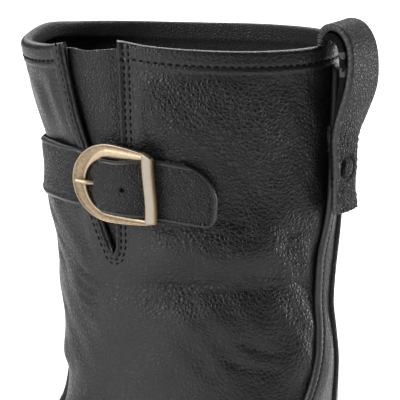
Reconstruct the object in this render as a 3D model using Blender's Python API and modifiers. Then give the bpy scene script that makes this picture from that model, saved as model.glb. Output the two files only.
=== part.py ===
"""Left pull-on ankle boot with a buckled gusset at the collar and a pull loop at the back.

Metres, +Z up, standing on the floor at Z = 0. The toe points to -X and the outer side faces -Y.
Lengths along the foot are called u: u = 0 is the back of the heel and u grows towards the toe.
Going round a section, the angle is 0 at the front, 90 at the outer side, 180 at the back and
270 at the inner side.
"""

import math
from collections import namedtuple

import bmesh
import bpy
import numpy as np
from mathutils import Matrix, Vector

MM = 0.001

# Driving dimensions, in millimetres unless the name says degrees
COLLAR_HEIGHT = 262.0
HEEL_LINE_X = 131.0  # world x of u = 0, so that the boot's box is centred over the origin
CLEARANCE = 0.3  # gap between pieces that touch on the real boot
OVERLAY_CLEARANCE = 0.6  # the same under a panel that lies on the curved upper
CUTTER_DEPTH = 5.0

UPPER_WALL = 2.4
COLLAR_FOLD_HEIGHT = 7.5
COLLAR_FOLD_STEP = 0.5
COLLAR_FOLD_RAMP = 0.6
LASTING_MARGIN = 11.0
LASTING_RISE = 0.7  # the turned-under margin lies this far over the feather line
LASTING_TURN = 2.6  # where the wall starts to turn under
LASTING_TURN_RISE = 0.9

FEATHER_AT_HEEL = 37.1
FEATHER_AT_BALL = 15.1
HEEL_SEAT_END = 70.0
ARCH_END = 152.0
TOE_SPRING_START = 205.0
TOE_SPRING_RUN = 75.0
TOE_SPRING_RISE = 10.0

WELT_WIDTH = 5.0
WELT_INSET = 2.2  # how far it reaches in under the upper
WELT_STEPS = 80
WELT_THICKNESS = 3.7
OUTSOLE_THICKNESS = 6.5
LUG_HEIGHT = 4.3
LUG_LENGTH = 8.5
LUG_PITCH = 13.0
LUG_COUNT = 9
LUG_FIRST_U = 148.0
LUG_SPINE = 7.0
LUG_EDGE_MARGIN = 4.0
LUG_SWEEP_DEG = 14.0
LUG_TIP_ANGLE = 0.05  # the outline is read this far from the toe's tip, in radians
LUG_SUNK = 1.5  # how far a bar's top goes up into the outsole
LUG_REACH = 10.0  # how far a swept bar reaches along the sole from its middle
HEEL_BREAST_U = 66.0
HEEL_MIDDLE_U = 33.0
HEEL_INSET = 0.6  # inside the outsole's edge
HEEL_LIFT_HEIGHT = 7.0
HEEL_TAPER = 0.95
INSOLE_THICKNESS = 3.0
INSOLE_INSET = 5.4
PLATE_TIP = 0.006  # share of the way round left off at the toe and the heel of a plate

VAMP_THICKNESS = 1.7
VAMP_COLUMNS = 14  # of the upper's grid, each side of the front
COUNTER_THICKNESS = 2.2
COUNTER_COLUMNS = 8  # of the upper's grid, each side of the back
COUNTER_BELOW_FOLD = 0.5
PIPING_RADIUS = 1.1

SLIT_CENTRE_DEG = 71.5
SLIT_FOOT_HEIGHT = 175.0
SLIT_CUT_DEPTH = 20.0

GUSSET_THICKNESS = 1.2
GUSSET_GAP = 0.7  # from the inside of the upper's wall
GUSSET_HALF_SPAN_DEG = 25.0
GUSSET_FOLD_DEPTH = 7.0
GUSSET_TOP = 259.0
GUSSET_FOOT = 168.0

STRAP_WIDTH = 21.6
STRAP_THICKNESS = 1.9
STRAP_START_DEG = -160.0
STRAP_FAR_DEG = 150.0  # beyond the strap's tail
STRAP_HOLE_SIZE = 4.2
STRAP_HOLE_AT = -5.5
STRAP_HOLE_LENGTH = 9.0
STRAP_HOLE_LEVEL = 3.6
STRAP_HOLE_DEPTH = 12.0
STRAP_FINE_DEG = 64.0  # from here the columns follow the buckle and not the upper's grid
STRAP_FINE_COLUMNS = 19
STRAP_TAIL_FROM = 14.0
BUCKLE_DEG = 79.0
BUCKLE_HEIGHT = 208.7
STRAP_TAIL_LENGTH = 41.0
STRAP_TIP_TOP_RADIUS = 13.0
STRAP_TIP_FOOT_RADIUS = 5.0
STRAP_ACROSS = (-1.0, -0.7, 0.0, 0.7, 1.0)  # columns, as shares of the half width

CHAPE_THICKNESS = 0.9
CHAPE_WIDTH = 20.6
CHAPE_END = 27.0
CHAPE_BEND_AT = 5.5
CHAPE_SLOT = 4.6
CHAPE_SLOT_LENGTH = 7.0
CHAPE_SLOT_DEPTH = 9.0

BUCKLE_SPAN = 5.0  # how far round the buckle's middle its plane is taken from
FRAME_THICKNESS = 2.4
FRAME_ARC_CENTRE = -4.0
FRAME_REACH = 17.0
FRAME_BAND = 5.4
FRAME_HALF_HEIGHT = 15.5
FRAME_RAIL = 2.9
FRAME_END_RAIL = 2.1
FRAME_END_HALF_HEIGHT = 13.6
FRAME_END = 15.5
FRAME_LEVEL_AT_ARC = 3.95
FRAME_LEVEL_AT_END = 3.9
FLAT_BAR_AT = 15.9
FLAT_BAR_WIDTH = 5.0
FLAT_BAR_HALF_LENGTH = 13.6
FLAT_BAR_THICKNESS = 2.4
FLAT_BAR_LEVEL = 5.1
CENTRE_BAR_AT = 1.5
CENTRE_BAR_RADIUS = 0.9
PRONG_RADIUS = 1.05

LOOP_WIDTH = 22.0
LOOP_THICKNESS = 2.2
LOOP_CURL_RADIUS = 30.0

# One row for each section of the last, from the feather edge at the sole up to the collar.
# follow: 1 where the section runs along the sole's line at that rise, 0 where it is a plane
# from the back height to the front height. The waists draw the sides in under the arch.
Section = namedtuple(
    "Section",
    "follow rise z_front u_front z_back u_back half_width widest n_front n_back waist_outer waist_inner swing",
)
SECTIONS = [
    Section(1.00, 3.0, 25.6, 269.5, 40.1, 3.0, 45.5, 0.665, 2.30, 2.55, 0.13, 0.30, 6.0),
    Section(1.00, 11.0, 34.0, 272.5, 48.1, 0.8, 48.5, 0.665, 2.30, 2.55, 0.12, 0.25, 6.0),
    Section(0.85, 23.0, 46.0, 270.5, 60.0, 0.0, 47.5, 0.655, 2.25, 2.50, 0.10, 0.19, 6.0),
    Section(0.35, 30.0, 56.0, 262.0, 68.0, 0.0, 42.0, 0.600, 2.15, 2.50, 0.04, 0.08, 5.0),
    Section(0.00, 36.0, 65.5, 240.0, 77.0, 0.4, 37.0, 0.460, 1.95, 2.45, 0.00, 0.01, 4.0),
    Section(0.00, 42.0, 71.5, 205.0, 86.0, 1.2, 35.8, 0.420, 1.90, 2.40, 0.00, 0.00, 3.0),
    Section(0.00, 48.0, 81.5, 165.0, 95.0, 2.0, 35.8, 0.450, 1.95, 2.35, 0.00, 0.00, 2.0),
    Section(0.00, 54.0, 94.5, 134.0, 104.0, 2.6, 36.6, 0.480, 2.05, 2.30, 0.00, 0.00, 1.0),
    Section(0.00, 60.0, 107.0, 117.6, 112.0, 2.9, 36.6, 0.500, 2.10, 2.10, 0.00, 0.00, 0.0),
    Section(0.00, 66.0, 121.0, 113.4, 123.0, 2.8, 36.9, 0.500, 2.10, 1.95, 0.00, 0.00, 0.0),
    Section(0.00, 72.0, 136.7, 113.7, 136.7, 2.6, 37.3, 0.500, 2.10, 1.90, 0.00, 0.00, 0.0),
    Section(0.00, 72.0, 148.0, 115.2, 148.0, 3.7, 37.8, 0.500, 2.10, 1.88, 0.00, 0.00, 0.0),
    Section(0.00, 72.0, 160.0, 117.0, 160.0, 4.9, 38.4, 0.500, 2.10, 1.88, 0.00, 0.00, 0.0),
    Section(0.00, 72.0, 178.0, 118.0, 178.0, 3.5, 39.9, 0.500, 2.10, 1.90, 0.00, 0.00, 0.0),
    Section(0.00, 72.0, 195.6, 122.0, 195.6, 0.8, 41.5, 0.500, 2.12, 1.92, 0.00, 0.00, 0.0),
    Section(0.00, 72.0, 211.0, 119.8, 211.0, 0.6, 42.8, 0.500, 2.15, 1.95, 0.00, 0.00, 0.0),
    Section(0.00, 72.0, 236.0, 126.8, 236.0, 0.6, 45.3, 0.500, 2.20, 2.00, 0.00, 0.00, 0.0),
    Section(0.00, 72.0, COLLAR_HEIGHT, 132.0, COLLAR_HEIGHT, 0.7, 46.8, 0.500, 2.25, 2.00, 0.00, 0.00, 0.0),
]
COLUMNS = np.array(SECTIONS, float)
COLLAR = len(SECTIONS) - 1.0
FIRST_SHAFT_SECTION = 10
WAIST_AT = 0.42
WAIST_SPREAD = 0.17
SWING_FROM = 0.45  # share of the length from which the forefoot swings to the inner side
ROUND_STEPS = 36
FOOT_CROWDING = 0.22  # draws the columns together along the sides of the long foot sections
FOOT_CROWDING_FADE = 5.0  # sections over which it fades out below the shaft

# The collar's edge over its plane: it dips at the front and rises at the slit and behind
RimRow = namedtuple("RimRow", "angle_deg lift")
RIM = [
    RimRow(0.0, -2.0),
    RimRow(15.0, -2.8),
    RimRow(40.0, -0.6),
    RimRow(60.0, 0.4),
    RimRow(82.0, 2.8),
    RimRow(95.0, 1.2),
    RimRow(115.0, 0.1),
    RimRow(165.0, -0.2),
    RimRow(190.0, 0.6),
    RimRow(222.0, 1.4),
    RimRow(250.0, 0.5),
    RimRow(290.0, -1.1),
    RimRow(330.0, -0.9),
    RimRow(360.0, -2.0),
]
RIM_DEPTH = 40.0  # how far down the shaft the edge's rise and fall fade out

# Half width of the back stay as an angle, by section: a narrow strip that opens into the counter
CounterRow = namedtuple("CounterRow", "section half_angle_deg")
COUNTER_EDGE = [
    CounterRow(0.0, 54.0),
    CounterRow(2.0, 53.0),
    CounterRow(4.0, 50.0),
    CounterRow(6.0, 41.0),
    CounterRow(8.0, 27.0),
    CounterRow(9.0, 20.0),
    CounterRow(10.0, 17.0),
    CounterRow(12.0, 14.0),
    CounterRow(13.0, 13.0),
    CounterRow(14.0, 10.6),
    CounterRow(COLLAR, 9.5),
]

# The vamp's edge as an angle from the front: a narrow tongue that widens over the instep
VampRow = namedtuple("VampRow", "section edge_angle_deg")
VAMP_EDGE = [
    VampRow(0.0, 114.0),
    VampRow(1.0, 113.0),
    VampRow(2.0, 111.0),
    VampRow(3.0, 103.0),
    VampRow(4.0, 85.0),
    VampRow(5.0, 67.0),
    VampRow(6.0, 49.0),
    VampRow(7.0, 29.0),
    VampRow(8.0, 11.5),
    VampRow(8.55, 6.5),
    VampRow(9.2, 4.0),
    VampRow(10.05, 1.5),
]

# Width of the slit that the gusset fills, by height
SlitRow = namedtuple("SlitRow", "height width")
SLIT = [
    SlitRow(SLIT_FOOT_HEIGHT, 1.2),
    SlitRow(SLIT_FOOT_HEIGHT + 2.0, 3.4),
    SlitRow(186.0, 7.5),
    SlitRow(212.0, 16.0),
    SlitRow(COLLAR_HEIGHT, 26.0),
    SlitRow(COLLAR_HEIGHT + 14.0, 28.0),
]

# Height of the strap's middle line, by distance from the buckle's middle
StrapCourse = namedtuple("StrapCourse", "along height")
STRAP_COURSE = [
    StrapCourse(-300.0, 209.0),
    StrapCourse(-80.0, 209.2),
    StrapCourse(-60.0, 209.6),
    StrapCourse(-40.0, 210.4),
    StrapCourse(-20.0, 209.9),
    StrapCourse(0.0, BUCKLE_HEIGHT),
    StrapCourse(16.0, 207.2),
    StrapCourse(30.0, 205.7),
    StrapCourse(42.0, 204.5),
]

# Height of the strap's inner face over the shaft, by distance from the buckle's middle
StrapRow = namedtuple("StrapRow", "along lift")
STRAP_LIFT = [
    StrapRow(-300.0, 0.7),
    StrapRow(-30.0, 0.7),
    StrapRow(-14.0, 0.3),
    StrapRow(-7.8, 0.3),
    StrapRow(-4.4, 2.6),
    StrapRow(-1.5, 5.9),
    StrapRow(1.5, 6.6),
    StrapRow(5.0, 5.8),
    StrapRow(9.0, 3.6),
    StrapRow(13.0, 2.2),
    StrapRow(29.0, 1.8),
    StrapRow(42.0, 1.0),
]

# The prong's middle line behind its start at the centre bar: distance along the strap, and level
ProngPoint = namedtuple("ProngPoint", "along level")
PRONG_PATH = [
    ProngPoint(-6.0, 4.7),
    ProngPoint(-11.0, 5.7),
    ProngPoint(-15.0, 6.55),
    ProngPoint(-20.6, 6.55),
]

# The pull loop's middle line seen from the side: u forward of the heel line, height, and how much
# of the shaft's roundness the strip takes on there
LoopPoint = namedtuple("LoopPoint", "u height curl")
LOOP_PATH = [
    LoopPoint(5.0, 241.0, 1.0),
    LoopPoint(5.0, 258.0, 1.0),
    LoopPoint(4.4, 264.5, 0.9),
    LoopPoint(1.4, 269.3, 0.5),
    LoopPoint(-3.6, 271.4, 0.2),
    LoopPoint(-8.6, 269.2, 0.1),
    LoopPoint(-12.0, 262.5, 0.1),
    LoopPoint(-13.0, 254.0, 0.1),
    LoopPoint(-11.5, 244.0, 0.2),
    LoopPoint(-7.4, 233.0, 0.5),
    LoopPoint(-4.2, 225.0, 0.9),
    LoopPoint(-3.8, 216.0, 1.0),
    LoopPoint(-3.5, 196.0, 1.0),
]


# The shape of the last

def smoothstep(value):
    """0 below 0, 1 above 1, and a soft ramp between."""
    t = np.clip(value, 0.0, 1.0)
    return t * t * (3.0 - 2.0 * t)


def feather(u):
    """Height of the line where the upper meets the sole: heel seat, arch, ball and toe spring."""
    arch = smoothstep((u - HEEL_SEAT_END) / (ARCH_END - HEEL_SEAT_END))
    spring = np.maximum(u - TOE_SPRING_START, 0.0) / TOE_SPRING_RUN
    return FEATHER_AT_HEEL + (FEATHER_AT_BALL - FEATHER_AT_HEEL) * arch + TOE_SPRING_RISE * spring**2


def section_values(section):
    """The section table's columns at any point between its rows, on a smooth curve through them."""
    section = np.asarray(section, float)
    last = len(COLUMNS) - 1
    i = np.clip(np.floor(section).astype(int), 0, last - 1)
    t = (section - i)[..., None]
    before, here = COLUMNS[np.maximum(i - 1, 0)], COLUMNS[i]
    there, after = COLUMNS[i + 1], COLUMNS[np.minimum(i + 2, last)]
    leave, arrive = (there - before) / 2, (after - here) / 2
    value = (
        (2 * t**3 - 3 * t**2 + 1) * here
        + (t**3 - 2 * t**2 + t) * leave
        + (3 * t**2 - 2 * t**3) * there
        + (t**3 - t**2) * arrive
    )
    return Section(*np.moveaxis(value, -1, 0))


def rim_lift(angle):
    """How far the collar's edge stands over its plane, by angle."""
    degrees = np.degrees(angle) % 360.0
    return np.interp(degrees, [row.angle_deg for row in RIM], [row.lift for row in RIM])


def last_point(section, angle):
    """A point of the upper's outer surface, as (u, outward, height) in millimetres."""
    row = section_values(section)
    angle = np.asarray(angle, float)
    cosine, sine = np.cos(angle), np.sin(angle)
    front = cosine >= 0
    power = np.where(front, row.n_front, row.n_back)
    radius = (np.abs(cosine) ** power + np.abs(sine) ** power) ** (-1 / power)
    along = row.widest + np.where(front, 1 - row.widest, row.widest) * cosine * radius
    waist = np.where(sine >= 0, row.waist_outer, row.waist_inner)
    narrowing = 1 - waist * np.exp(-(((along - WAIST_AT) / WAIST_SPREAD) ** 2))
    sideways = row.half_width * narrowing * sine * radius
    sideways = sideways - row.swing * smoothstep((along - SWING_FROM) / (1 - SWING_FROM))
    u = row.u_back + (row.u_front - row.u_back) * along
    plane = row.z_back + (row.z_front - row.z_back) * along
    height = row.follow * (feather(u) + row.rise) + (1 - row.follow) * plane
    height = height + rim_lift(angle) * smoothstep((height - COLLAR_HEIGHT) / RIM_DEPTH + 1)
    return np.stack(np.broadcast_arrays(u, sideways, height), axis=-1)


def to_world(points):
    """(u, outward, height) in millimetres to world metres."""
    points = np.asarray(points, float)
    return np.stack(
        [
            (HEEL_LINE_X - points[..., 0]) * MM,
            -points[..., 1] * MM,
            points[..., 2] * MM,
        ],
        axis=-1,
    )


def column_angle(section, share):
    """Angle of a column of the upper's grid, by its share of the way round."""
    turn = 2 * math.pi * np.asarray(share, float)
    foot = smoothstep((FIRST_SHAFT_SECTION - 1 - np.asarray(section, float)) / FOOT_CROWDING_FADE)
    return turn + FOOT_CROWDING * foot * np.sin(2 * turn)


def outward_normal(section, angle):
    """Unit normal of the upper's outer surface, in world axes."""
    step = 0.01
    section = np.clip(section, step, COLLAR - step)
    round_it = to_world(last_point(section, angle + step)) - to_world(last_point(section, angle - step))
    up_it = to_world(last_point(section + step, angle)) - to_world(last_point(section - step, angle))
    normal = np.cross(round_it, up_it)
    return normal / np.linalg.norm(normal, axis=-1, keepdims=True)


def on_upper(section, angle, offset):
    """World point over (positive) or under (negative) the upper's outer surface by an offset in mm."""
    section, angle, offset = np.broadcast_arrays(section, np.asarray(angle, float), offset)
    return to_world(last_point(section, angle)) + outward_normal(section, angle) * offset[..., None] * MM


def shaft_section(height):
    """The section at a height of the shaft, in millimetres."""
    rows = np.linspace(FIRST_SHAFT_SECTION, COLLAR, 200)
    return np.interp(height, section_values(rows).z_back, rows)


def sole_outline(angle, outset):
    """The feather edge in plan, moved out by outset: (u, outward) in millimetres."""
    step = 0.01
    here = last_point(0.0, angle)[..., :2]
    round_it = last_point(0.0, angle + step)[..., :2] - last_point(0.0, angle - step)[..., :2]
    out = np.stack([round_it[..., 1], -round_it[..., 0]], axis=-1)
    return here + out / np.linalg.norm(out, axis=-1, keepdims=True) * outset


def table_curve(rows, at):
    """Second column of a two-column table at a value of the first."""
    return np.interp(at, [row[0] for row in rows], [row[1] for row in rows])


# Mesh helpers

def new_object(name, mesh, material, collection):
    thing = bpy.data.objects.new(name, mesh)
    collection.objects.link(thing)
    if material:
        mesh.materials.append(material)
    return thing


def grid_mesh(name, points, closed_round=False, flip=False, split=False):
    """A surface through rows of points, the columns running round the boot.

    Layers of the same grid are split into triangles the same way, so that they stay parallel.
    """
    rows, columns = points.shape[:2]
    built = bmesh.new()
    verts = [[built.verts.new(point) for point in row] for row in points]
    steps = columns if closed_round else columns - 1
    for i in range(rows - 1):
        for j in range(steps):
            k = (j + 1) % columns
            corners = [verts[i][j], verts[i][k], verts[i + 1][k], verts[i + 1][j]]
            corners = corners[::-1] if flip else corners
            faces = [corners[:3], [corners[0], *corners[2:]]] if split else [corners]
            for face in faces:
                built.faces.new(face)
    mesh = bpy.data.meshes.new(name)
    built.to_mesh(mesh)
    built.free()
    mesh.shade_smooth()
    return mesh


def solidify(thing, thickness, side):
    """Gives a surface its thickness, inwards (-1) or outwards (+1) of its faces."""
    wall = thing.modifiers.new("wall", "SOLIDIFY")
    wall.thickness = thickness * MM
    wall.offset = side
    wall.use_even_offset = True
    wall.use_quality_normals = True
    return thing


def boolean(thing, other, operation):
    cut = thing.modifiers.new(operation.lower(), "BOOLEAN")
    cut.operation = operation
    cut.solver = "EXACT"
    cut.object = other


def helper(thing):
    """Marks a cutter or an added form, which is no piece of the boot."""
    thing.hide_render = True
    thing.display_type = "WIRE"
    return thing


def box_mesh(name, boxes):
    """One mesh of boxes, each a matrix for a cube of side 1."""
    built = bmesh.new()
    for matrix in boxes:
        bmesh.ops.create_cube(built, size=1.0, matrix=matrix)
    mesh = bpy.data.meshes.new(name)
    built.to_mesh(mesh)
    built.free()
    return mesh


def tube(name, points, radius, material, collection):
    """A round rod along points, as a mesh with closed ends."""
    curve = bpy.data.curves.new(name, "CURVE")
    curve.dimensions = "3D"
    curve.bevel_depth = radius * MM
    curve.bevel_resolution = 1
    curve.use_fill_caps = True
    spline = curve.splines.new("POLY")
    spline.points.add(len(points) - 1)
    for point, place in zip(spline.points, points):
        point.co = (*place, 1.0)
    return as_mesh(new_object(name, curve, None, collection), material, collection)


def as_mesh(thing, material, collection):
    """The evaluated shape of a curve as a mesh object of the same name."""
    name = thing.name
    graph = bpy.context.evaluated_depsgraph_get()
    mesh = bpy.data.meshes.new_from_object(thing.evaluated_get(graph))
    matrix = thing.matrix_world.copy()
    bpy.data.objects.remove(thing)
    built = bmesh.new()
    built.from_mesh(mesh)
    bmesh.ops.remove_doubles(built, verts=built.verts, dist=1e-6)
    bmesh.ops.recalc_face_normals(built, faces=built.faces)
    built.to_mesh(mesh)
    built.free()
    mesh.shade_smooth()
    made = new_object(name, mesh, material, collection)
    made.matrix_world = matrix
    return made


def finish(name, colour, roughness, metallic=0.0):
    """A plain material."""
    material = bpy.data.materials.new(name)
    material.use_nodes = True
    shader = material.node_tree.nodes["Principled BSDF"]
    shader.inputs["Base Color"].default_value = (*colour, 1.0)
    shader.inputs["Roughness"].default_value = roughness
    shader.inputs["Metallic"].default_value = metallic
    return material


# The sole

def sole_plate(name, outset, drop, thickness, material, collection, stations, across):
    """A plate that follows the sole's line, its top below the feather edge by drop."""
    angles = column_angle(0.0, np.linspace(PLATE_TIP, 0.5 - PLATE_TIP, stations))
    outer, inner = sole_outline(angles, outset), sole_outline(2 * math.pi - angles, outset)
    share = np.linspace(0.0, 1.0, across + 1)[None, :, None]
    plan = outer[:, None] * (1 - share) + inner[:, None] * share
    height = feather(plan[..., 0]) - drop
    points = to_world(np.concatenate([plan, height[..., None]], axis=-1))
    plate = new_object(name, grid_mesh(name, points, flip=True), material, collection)
    return solidify(plate, thickness, -1)


def welt(material, collection):
    angles = column_angle(0.0, np.linspace(0.0, 1.0, WELT_STEPS, endpoint=False))
    edges = [sole_outline(angles, outset) for outset in (-WELT_INSET, WELT_WIDTH)]
    plan = np.stack(edges, axis=0)
    height = feather(plan[..., 0]) - CLEARANCE
    points = to_world(np.concatenate([plan, height[..., None]], axis=-1))
    strip = new_object("welt", grid_mesh("welt", points, closed_round=True, flip=True), material, collection)
    return solidify(strip, WELT_THICKNESS, -1)


def outsole_top():
    """How far the outsole's top lies under the feather edge."""
    return WELT_THICKNESS + 3 * CLEARANCE


def lug_boxes():
    """Tread bars in pairs across the forepart, swept back to the edges and level where they stand."""
    boxes = []
    for index in range(LUG_COUNT):
        u = LUG_FIRST_U + index * LUG_PITCH
        slope = 2 * TOE_SPRING_RISE * max(u - TOE_SPRING_START, 0.0) / TOE_SPRING_RUN**2
        angles = np.linspace(LUG_TIP_ANGLE, math.pi - LUG_TIP_ANGLE, 400)
        for side in (1.0, -1.0):
            edge = sole_outline(angles if side > 0 else 2 * math.pi - angles, WELT_WIDTH)
            reach = side * np.interp(-u, -edge[:, 0], edge[:, 1])
            near = LUG_SPINE / 2
            far = reach - LUG_EDGE_MARGIN
            if far - near < LUG_LENGTH:
                continue
            middle = side * (near + far) / 2
            height = LUG_HEIGHT + LUG_SUNK
            foot = float(feather(u)) - FEATHER_AT_BALL + slope * LUG_REACH
            centre = to_world([u, middle, foot + height / 2])
            turn = Matrix.Rotation(math.atan(slope), 4, "Y")
            turn = turn @ Matrix.Rotation(-side * math.radians(LUG_SWEEP_DEG), 4, "Z")
            size = Matrix.Diagonal((LUG_LENGTH * MM, (far - near) * MM, height * MM, 1.0))
            boxes.append(Matrix.Translation(centre) @ turn @ size)
    return boxes


def outsole(material, collection, helpers):
    plate = sole_plate("outsole", WELT_WIDTH, outsole_top(), OUTSOLE_THICKNESS, material, collection, 43, 2)
    lugs = new_object("outsole_lugs", box_mesh("outsole_lugs", lug_boxes()), None, helpers)
    boolean(plate, helper(lugs), "UNION")
    return plate


def heel_layer(name, top, foot, shrink_top, shrink_foot, material, collection):
    """A slice of the heel block: the back of the sole's outline with a straight breast."""
    angles = np.linspace(0.0, 2 * math.pi, 160, endpoint=False)
    plan = sole_outline(angles, WELT_WIDTH - HEEL_INSET)
    kept = plan[plan[:, 0] < HEEL_BREAST_U][::2]
    centre = np.array([HEEL_MIDDLE_U, 0.0])
    built = bmesh.new()
    rings = []
    for height, share in ((foot, shrink_foot), (top, shrink_top)):
        ring = centre + (kept - centre) * share
        points = to_world(np.column_stack([ring, np.full(len(ring), height)]))
        rings.append([built.verts.new(point) for point in points])
    low, high = rings
    built.faces.new(low[::-1])
    built.faces.new(high)
    for i in range(len(low)):
        k = (i + 1) % len(low)
        built.faces.new([low[i], low[k], high[k], high[i]])
    bmesh.ops.recalc_face_normals(built, faces=built.faces)
    mesh = bpy.data.meshes.new(name)
    built.to_mesh(mesh)
    built.free()
    return new_object(name, mesh, material, collection)


def heel(material, lift_material, collection):
    seat = FEATHER_AT_HEEL - outsole_top() - OUTSOLE_THICKNESS - CLEARANCE
    share = HEEL_LIFT_HEIGHT / seat
    at_lift = HEEL_TAPER + (1 - HEEL_TAPER) * share
    heel_layer("heel", seat, HEEL_LIFT_HEIGHT + CLEARANCE, 1.0, at_lift, material, collection)
    heel_layer("heel_lift", HEEL_LIFT_HEIGHT, 0.0, at_lift, HEEL_TAPER, lift_material, collection)


def insole(material, collection):
    drop = -(LASTING_RISE + UPPER_WALL + 4 * CLEARANCE + INSOLE_THICKNESS)
    return sole_plate("insole", -INSOLE_INSET, drop, INSOLE_THICKNESS, material, collection, 47, 1)


# The upper

def collar_fold(section):
    """The step of the turned-over edge at the collar."""
    height = section_values(section).z_back
    return COLLAR_FOLD_STEP * smoothstep((height - (COLLAR_HEIGHT - COLLAR_FOLD_HEIGHT)) / COLLAR_FOLD_RAMP)


def slit_cutter(helpers):
    """A wedge through the wall at the outer side of the front, its point towards the foot."""
    section = shaft_section((COLLAR_HEIGHT + SLIT_FOOT_HEIGHT) / 2)
    angle = math.radians(SLIT_CENTRE_DEG)
    middle = Vector(on_upper(section, angle, 0.0))
    out = Vector(outward_normal(section, angle))
    out.z = 0.0
    out.normalize()
    along = Vector((0.0, 0.0, 1.0)).cross(out)
    curve = bpy.data.curves.new("slit_cutter", "CURVE")
    curve.dimensions = "2D"
    curve.fill_mode = "BOTH"
    curve.extrude = SLIT_CUT_DEPTH * MM
    spline = curve.splines.new("POLY")
    outline = [(-row.width / 2, row.height) for row in SLIT] + [(row.width / 2, row.height) for row in SLIT[::-1]]
    spline.points.add(len(outline) - 1)
    for point, (side, height) in zip(spline.points, outline):
        point.co = (side * MM, (height * MM - middle.z), 0.0, 1.0)
    spline.use_cyclic_u = True
    wedge = new_object("slit_cutter", curve, None, helpers)
    frame = Matrix((along, Vector((0.0, 0.0, 1.0)), out)).transposed().to_4x4()
    wedge.matrix_world = Matrix.Translation(middle) @ frame
    bpy.context.view_layer.update()
    return helper(as_mesh(wedge, None, helpers))


def upper_rows():
    """The sections that the upper's grid runs through, below the fold at the collar."""
    toe = np.arange(0.0, 5.0, 0.5)
    ankle = np.arange(5.0, 13.0, 1.0)
    under_strap = np.arange(13.0, 16.6, 0.5)
    return np.concatenate([toe, ankle, under_strap])


def upper(material, collection, helpers):
    share = np.linspace(0.0, 1.0, ROUND_STEPS, endpoint=False)
    rows = []
    for inset, rise in ((-LASTING_MARGIN, LASTING_RISE), (-LASTING_TURN, LASTING_TURN_RISE)):
        plan = sole_outline(column_angle(0.0, share), inset)
        height = feather(plan[:, 0]) + rise
        rows.append(to_world(np.column_stack([plan, height])))
    fold = float(shaft_section(COLLAR_HEIGHT - COLLAR_FOLD_HEIGHT))
    step = float(shaft_section(COLLAR_HEIGHT - COLLAR_FOLD_HEIGHT + COLLAR_FOLD_RAMP))
    for section in [*upper_rows(), fold, step, COLLAR]:
        rows.append(on_upper(section, column_angle(section, share), float(collar_fold(section))))
    shell = new_object("upper", grid_mesh("upper", np.stack(rows), closed_round=True, split=True), material, collection)
    solidify(shell, UPPER_WALL, -1)
    boolean(shell, slit_cutter(helpers), "DIFFERENCE")
    return shell


def overlay(name, sections, shares, edges, middle, thickness, material, collection, helpers):
    """A panel on the upper: a layer over its own grid, cut where the panel's two edges run."""
    layer = on_upper(sections[:, None], column_angle(sections[:, None], shares[None, :]), OVERLAY_CLEARANCE)
    panel = new_object(name, grid_mesh(name, layer, split=True), material, collection)
    solidify(panel, thickness, 1)
    rows = np.append(np.arange(sections[0], sections[-1], 1.0), sections[-1] + 0.05)
    half = np.radians(table_curve(edges, rows))
    across = np.linspace(-1.0, 1.0, 21)
    angles = middle + half[:, None] * across[None, :]
    inner = on_upper(rows[:, None], angles, -CUTTER_DEPTH)
    inner[0, :, 2] -= CUTTER_DEPTH * MM
    block = new_object(name + "_cutter", grid_mesh(name + "_cutter", inner), None, helpers)
    solidify(block, 2 * CUTTER_DEPTH + thickness, 1)
    boolean(panel, helper(block), "INTERSECT")
    return panel


def vamp(material, collection, helpers):
    sections = np.append(upper_rows()[upper_rows() < VAMP_EDGE[-1].section], VAMP_EDGE[-1].section)
    shares = np.arange(-VAMP_COLUMNS, VAMP_COLUMNS + 1) / ROUND_STEPS
    return overlay("vamp", sections, shares, VAMP_EDGE, 0.0, VAMP_THICKNESS, material, collection, helpers)


def counter(material, collection, helpers):
    below_fold = float(shaft_section(COLLAR_HEIGHT - COLLAR_FOLD_HEIGHT - COUNTER_BELOW_FOLD))
    sections = np.append(upper_rows(), below_fold)
    shares = 0.5 + np.arange(-COUNTER_COLUMNS, COUNTER_COLUMNS + 1) / ROUND_STEPS
    return overlay(
        "counter", sections, shares, COUNTER_EDGE, math.pi, COUNTER_THICKNESS, material, collection, helpers
    )


def back_piping(material, collection):
    """The rib over the back seam, from under the pull loop to the heel."""
    top = float(shaft_section(LOOP_PATH[-1].height - 1.0))
    sections = np.concatenate([upper_rows()[upper_rows() < top], [top]])
    offset = OVERLAY_CLEARANCE + COUNTER_THICKNESS + CLEARANCE + PIPING_RADIUS
    return tube("back_piping", on_upper(sections, math.pi, offset), PIPING_RADIUS, material, collection)


def gusset(material, collection):
    """The soft panel behind the slit, folded inwards between the slit's edges."""
    heights = np.linspace(GUSSET_FOOT, GUSSET_TOP, 7)
    span = np.linspace(-1.0, 1.0, 9)
    angles = math.radians(SLIT_CENTRE_DEG) + math.radians(GUSSET_HALF_SPAN_DEG) * span
    open_share = smoothstep((heights - SLIT_FOOT_HEIGHT) / (COLLAR_HEIGHT - SLIT_FOOT_HEIGHT))
    fold = GUSSET_FOLD_DEPTH * open_share[:, None] * np.cos(span * math.pi / 2)[None, :] ** 2
    depth = -(UPPER_WALL + GUSSET_GAP) - fold
    points = on_upper(shaft_section(heights)[:, None], angles[None, :], depth)
    panel = new_object("gusset", grid_mesh("gusset", points), material, collection)
    return solidify(panel, GUSSET_THICKNESS, -1)


# The strap and buckle

def strap_run():
    """Angles round the shaft from the strap's start, and the distance of each along the strap."""
    angles = np.radians(np.linspace(STRAP_START_DEG, STRAP_FAR_DEG, 1200))
    line = on_upper(shaft_section(BUCKLE_HEIGHT), angles, 0.0)
    length = np.concatenate([[0.0], np.cumsum(np.linalg.norm(np.diff(line, axis=0), axis=1))]) / MM
    return angles, length - np.interp(math.radians(BUCKLE_DEG), angles, length)


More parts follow.
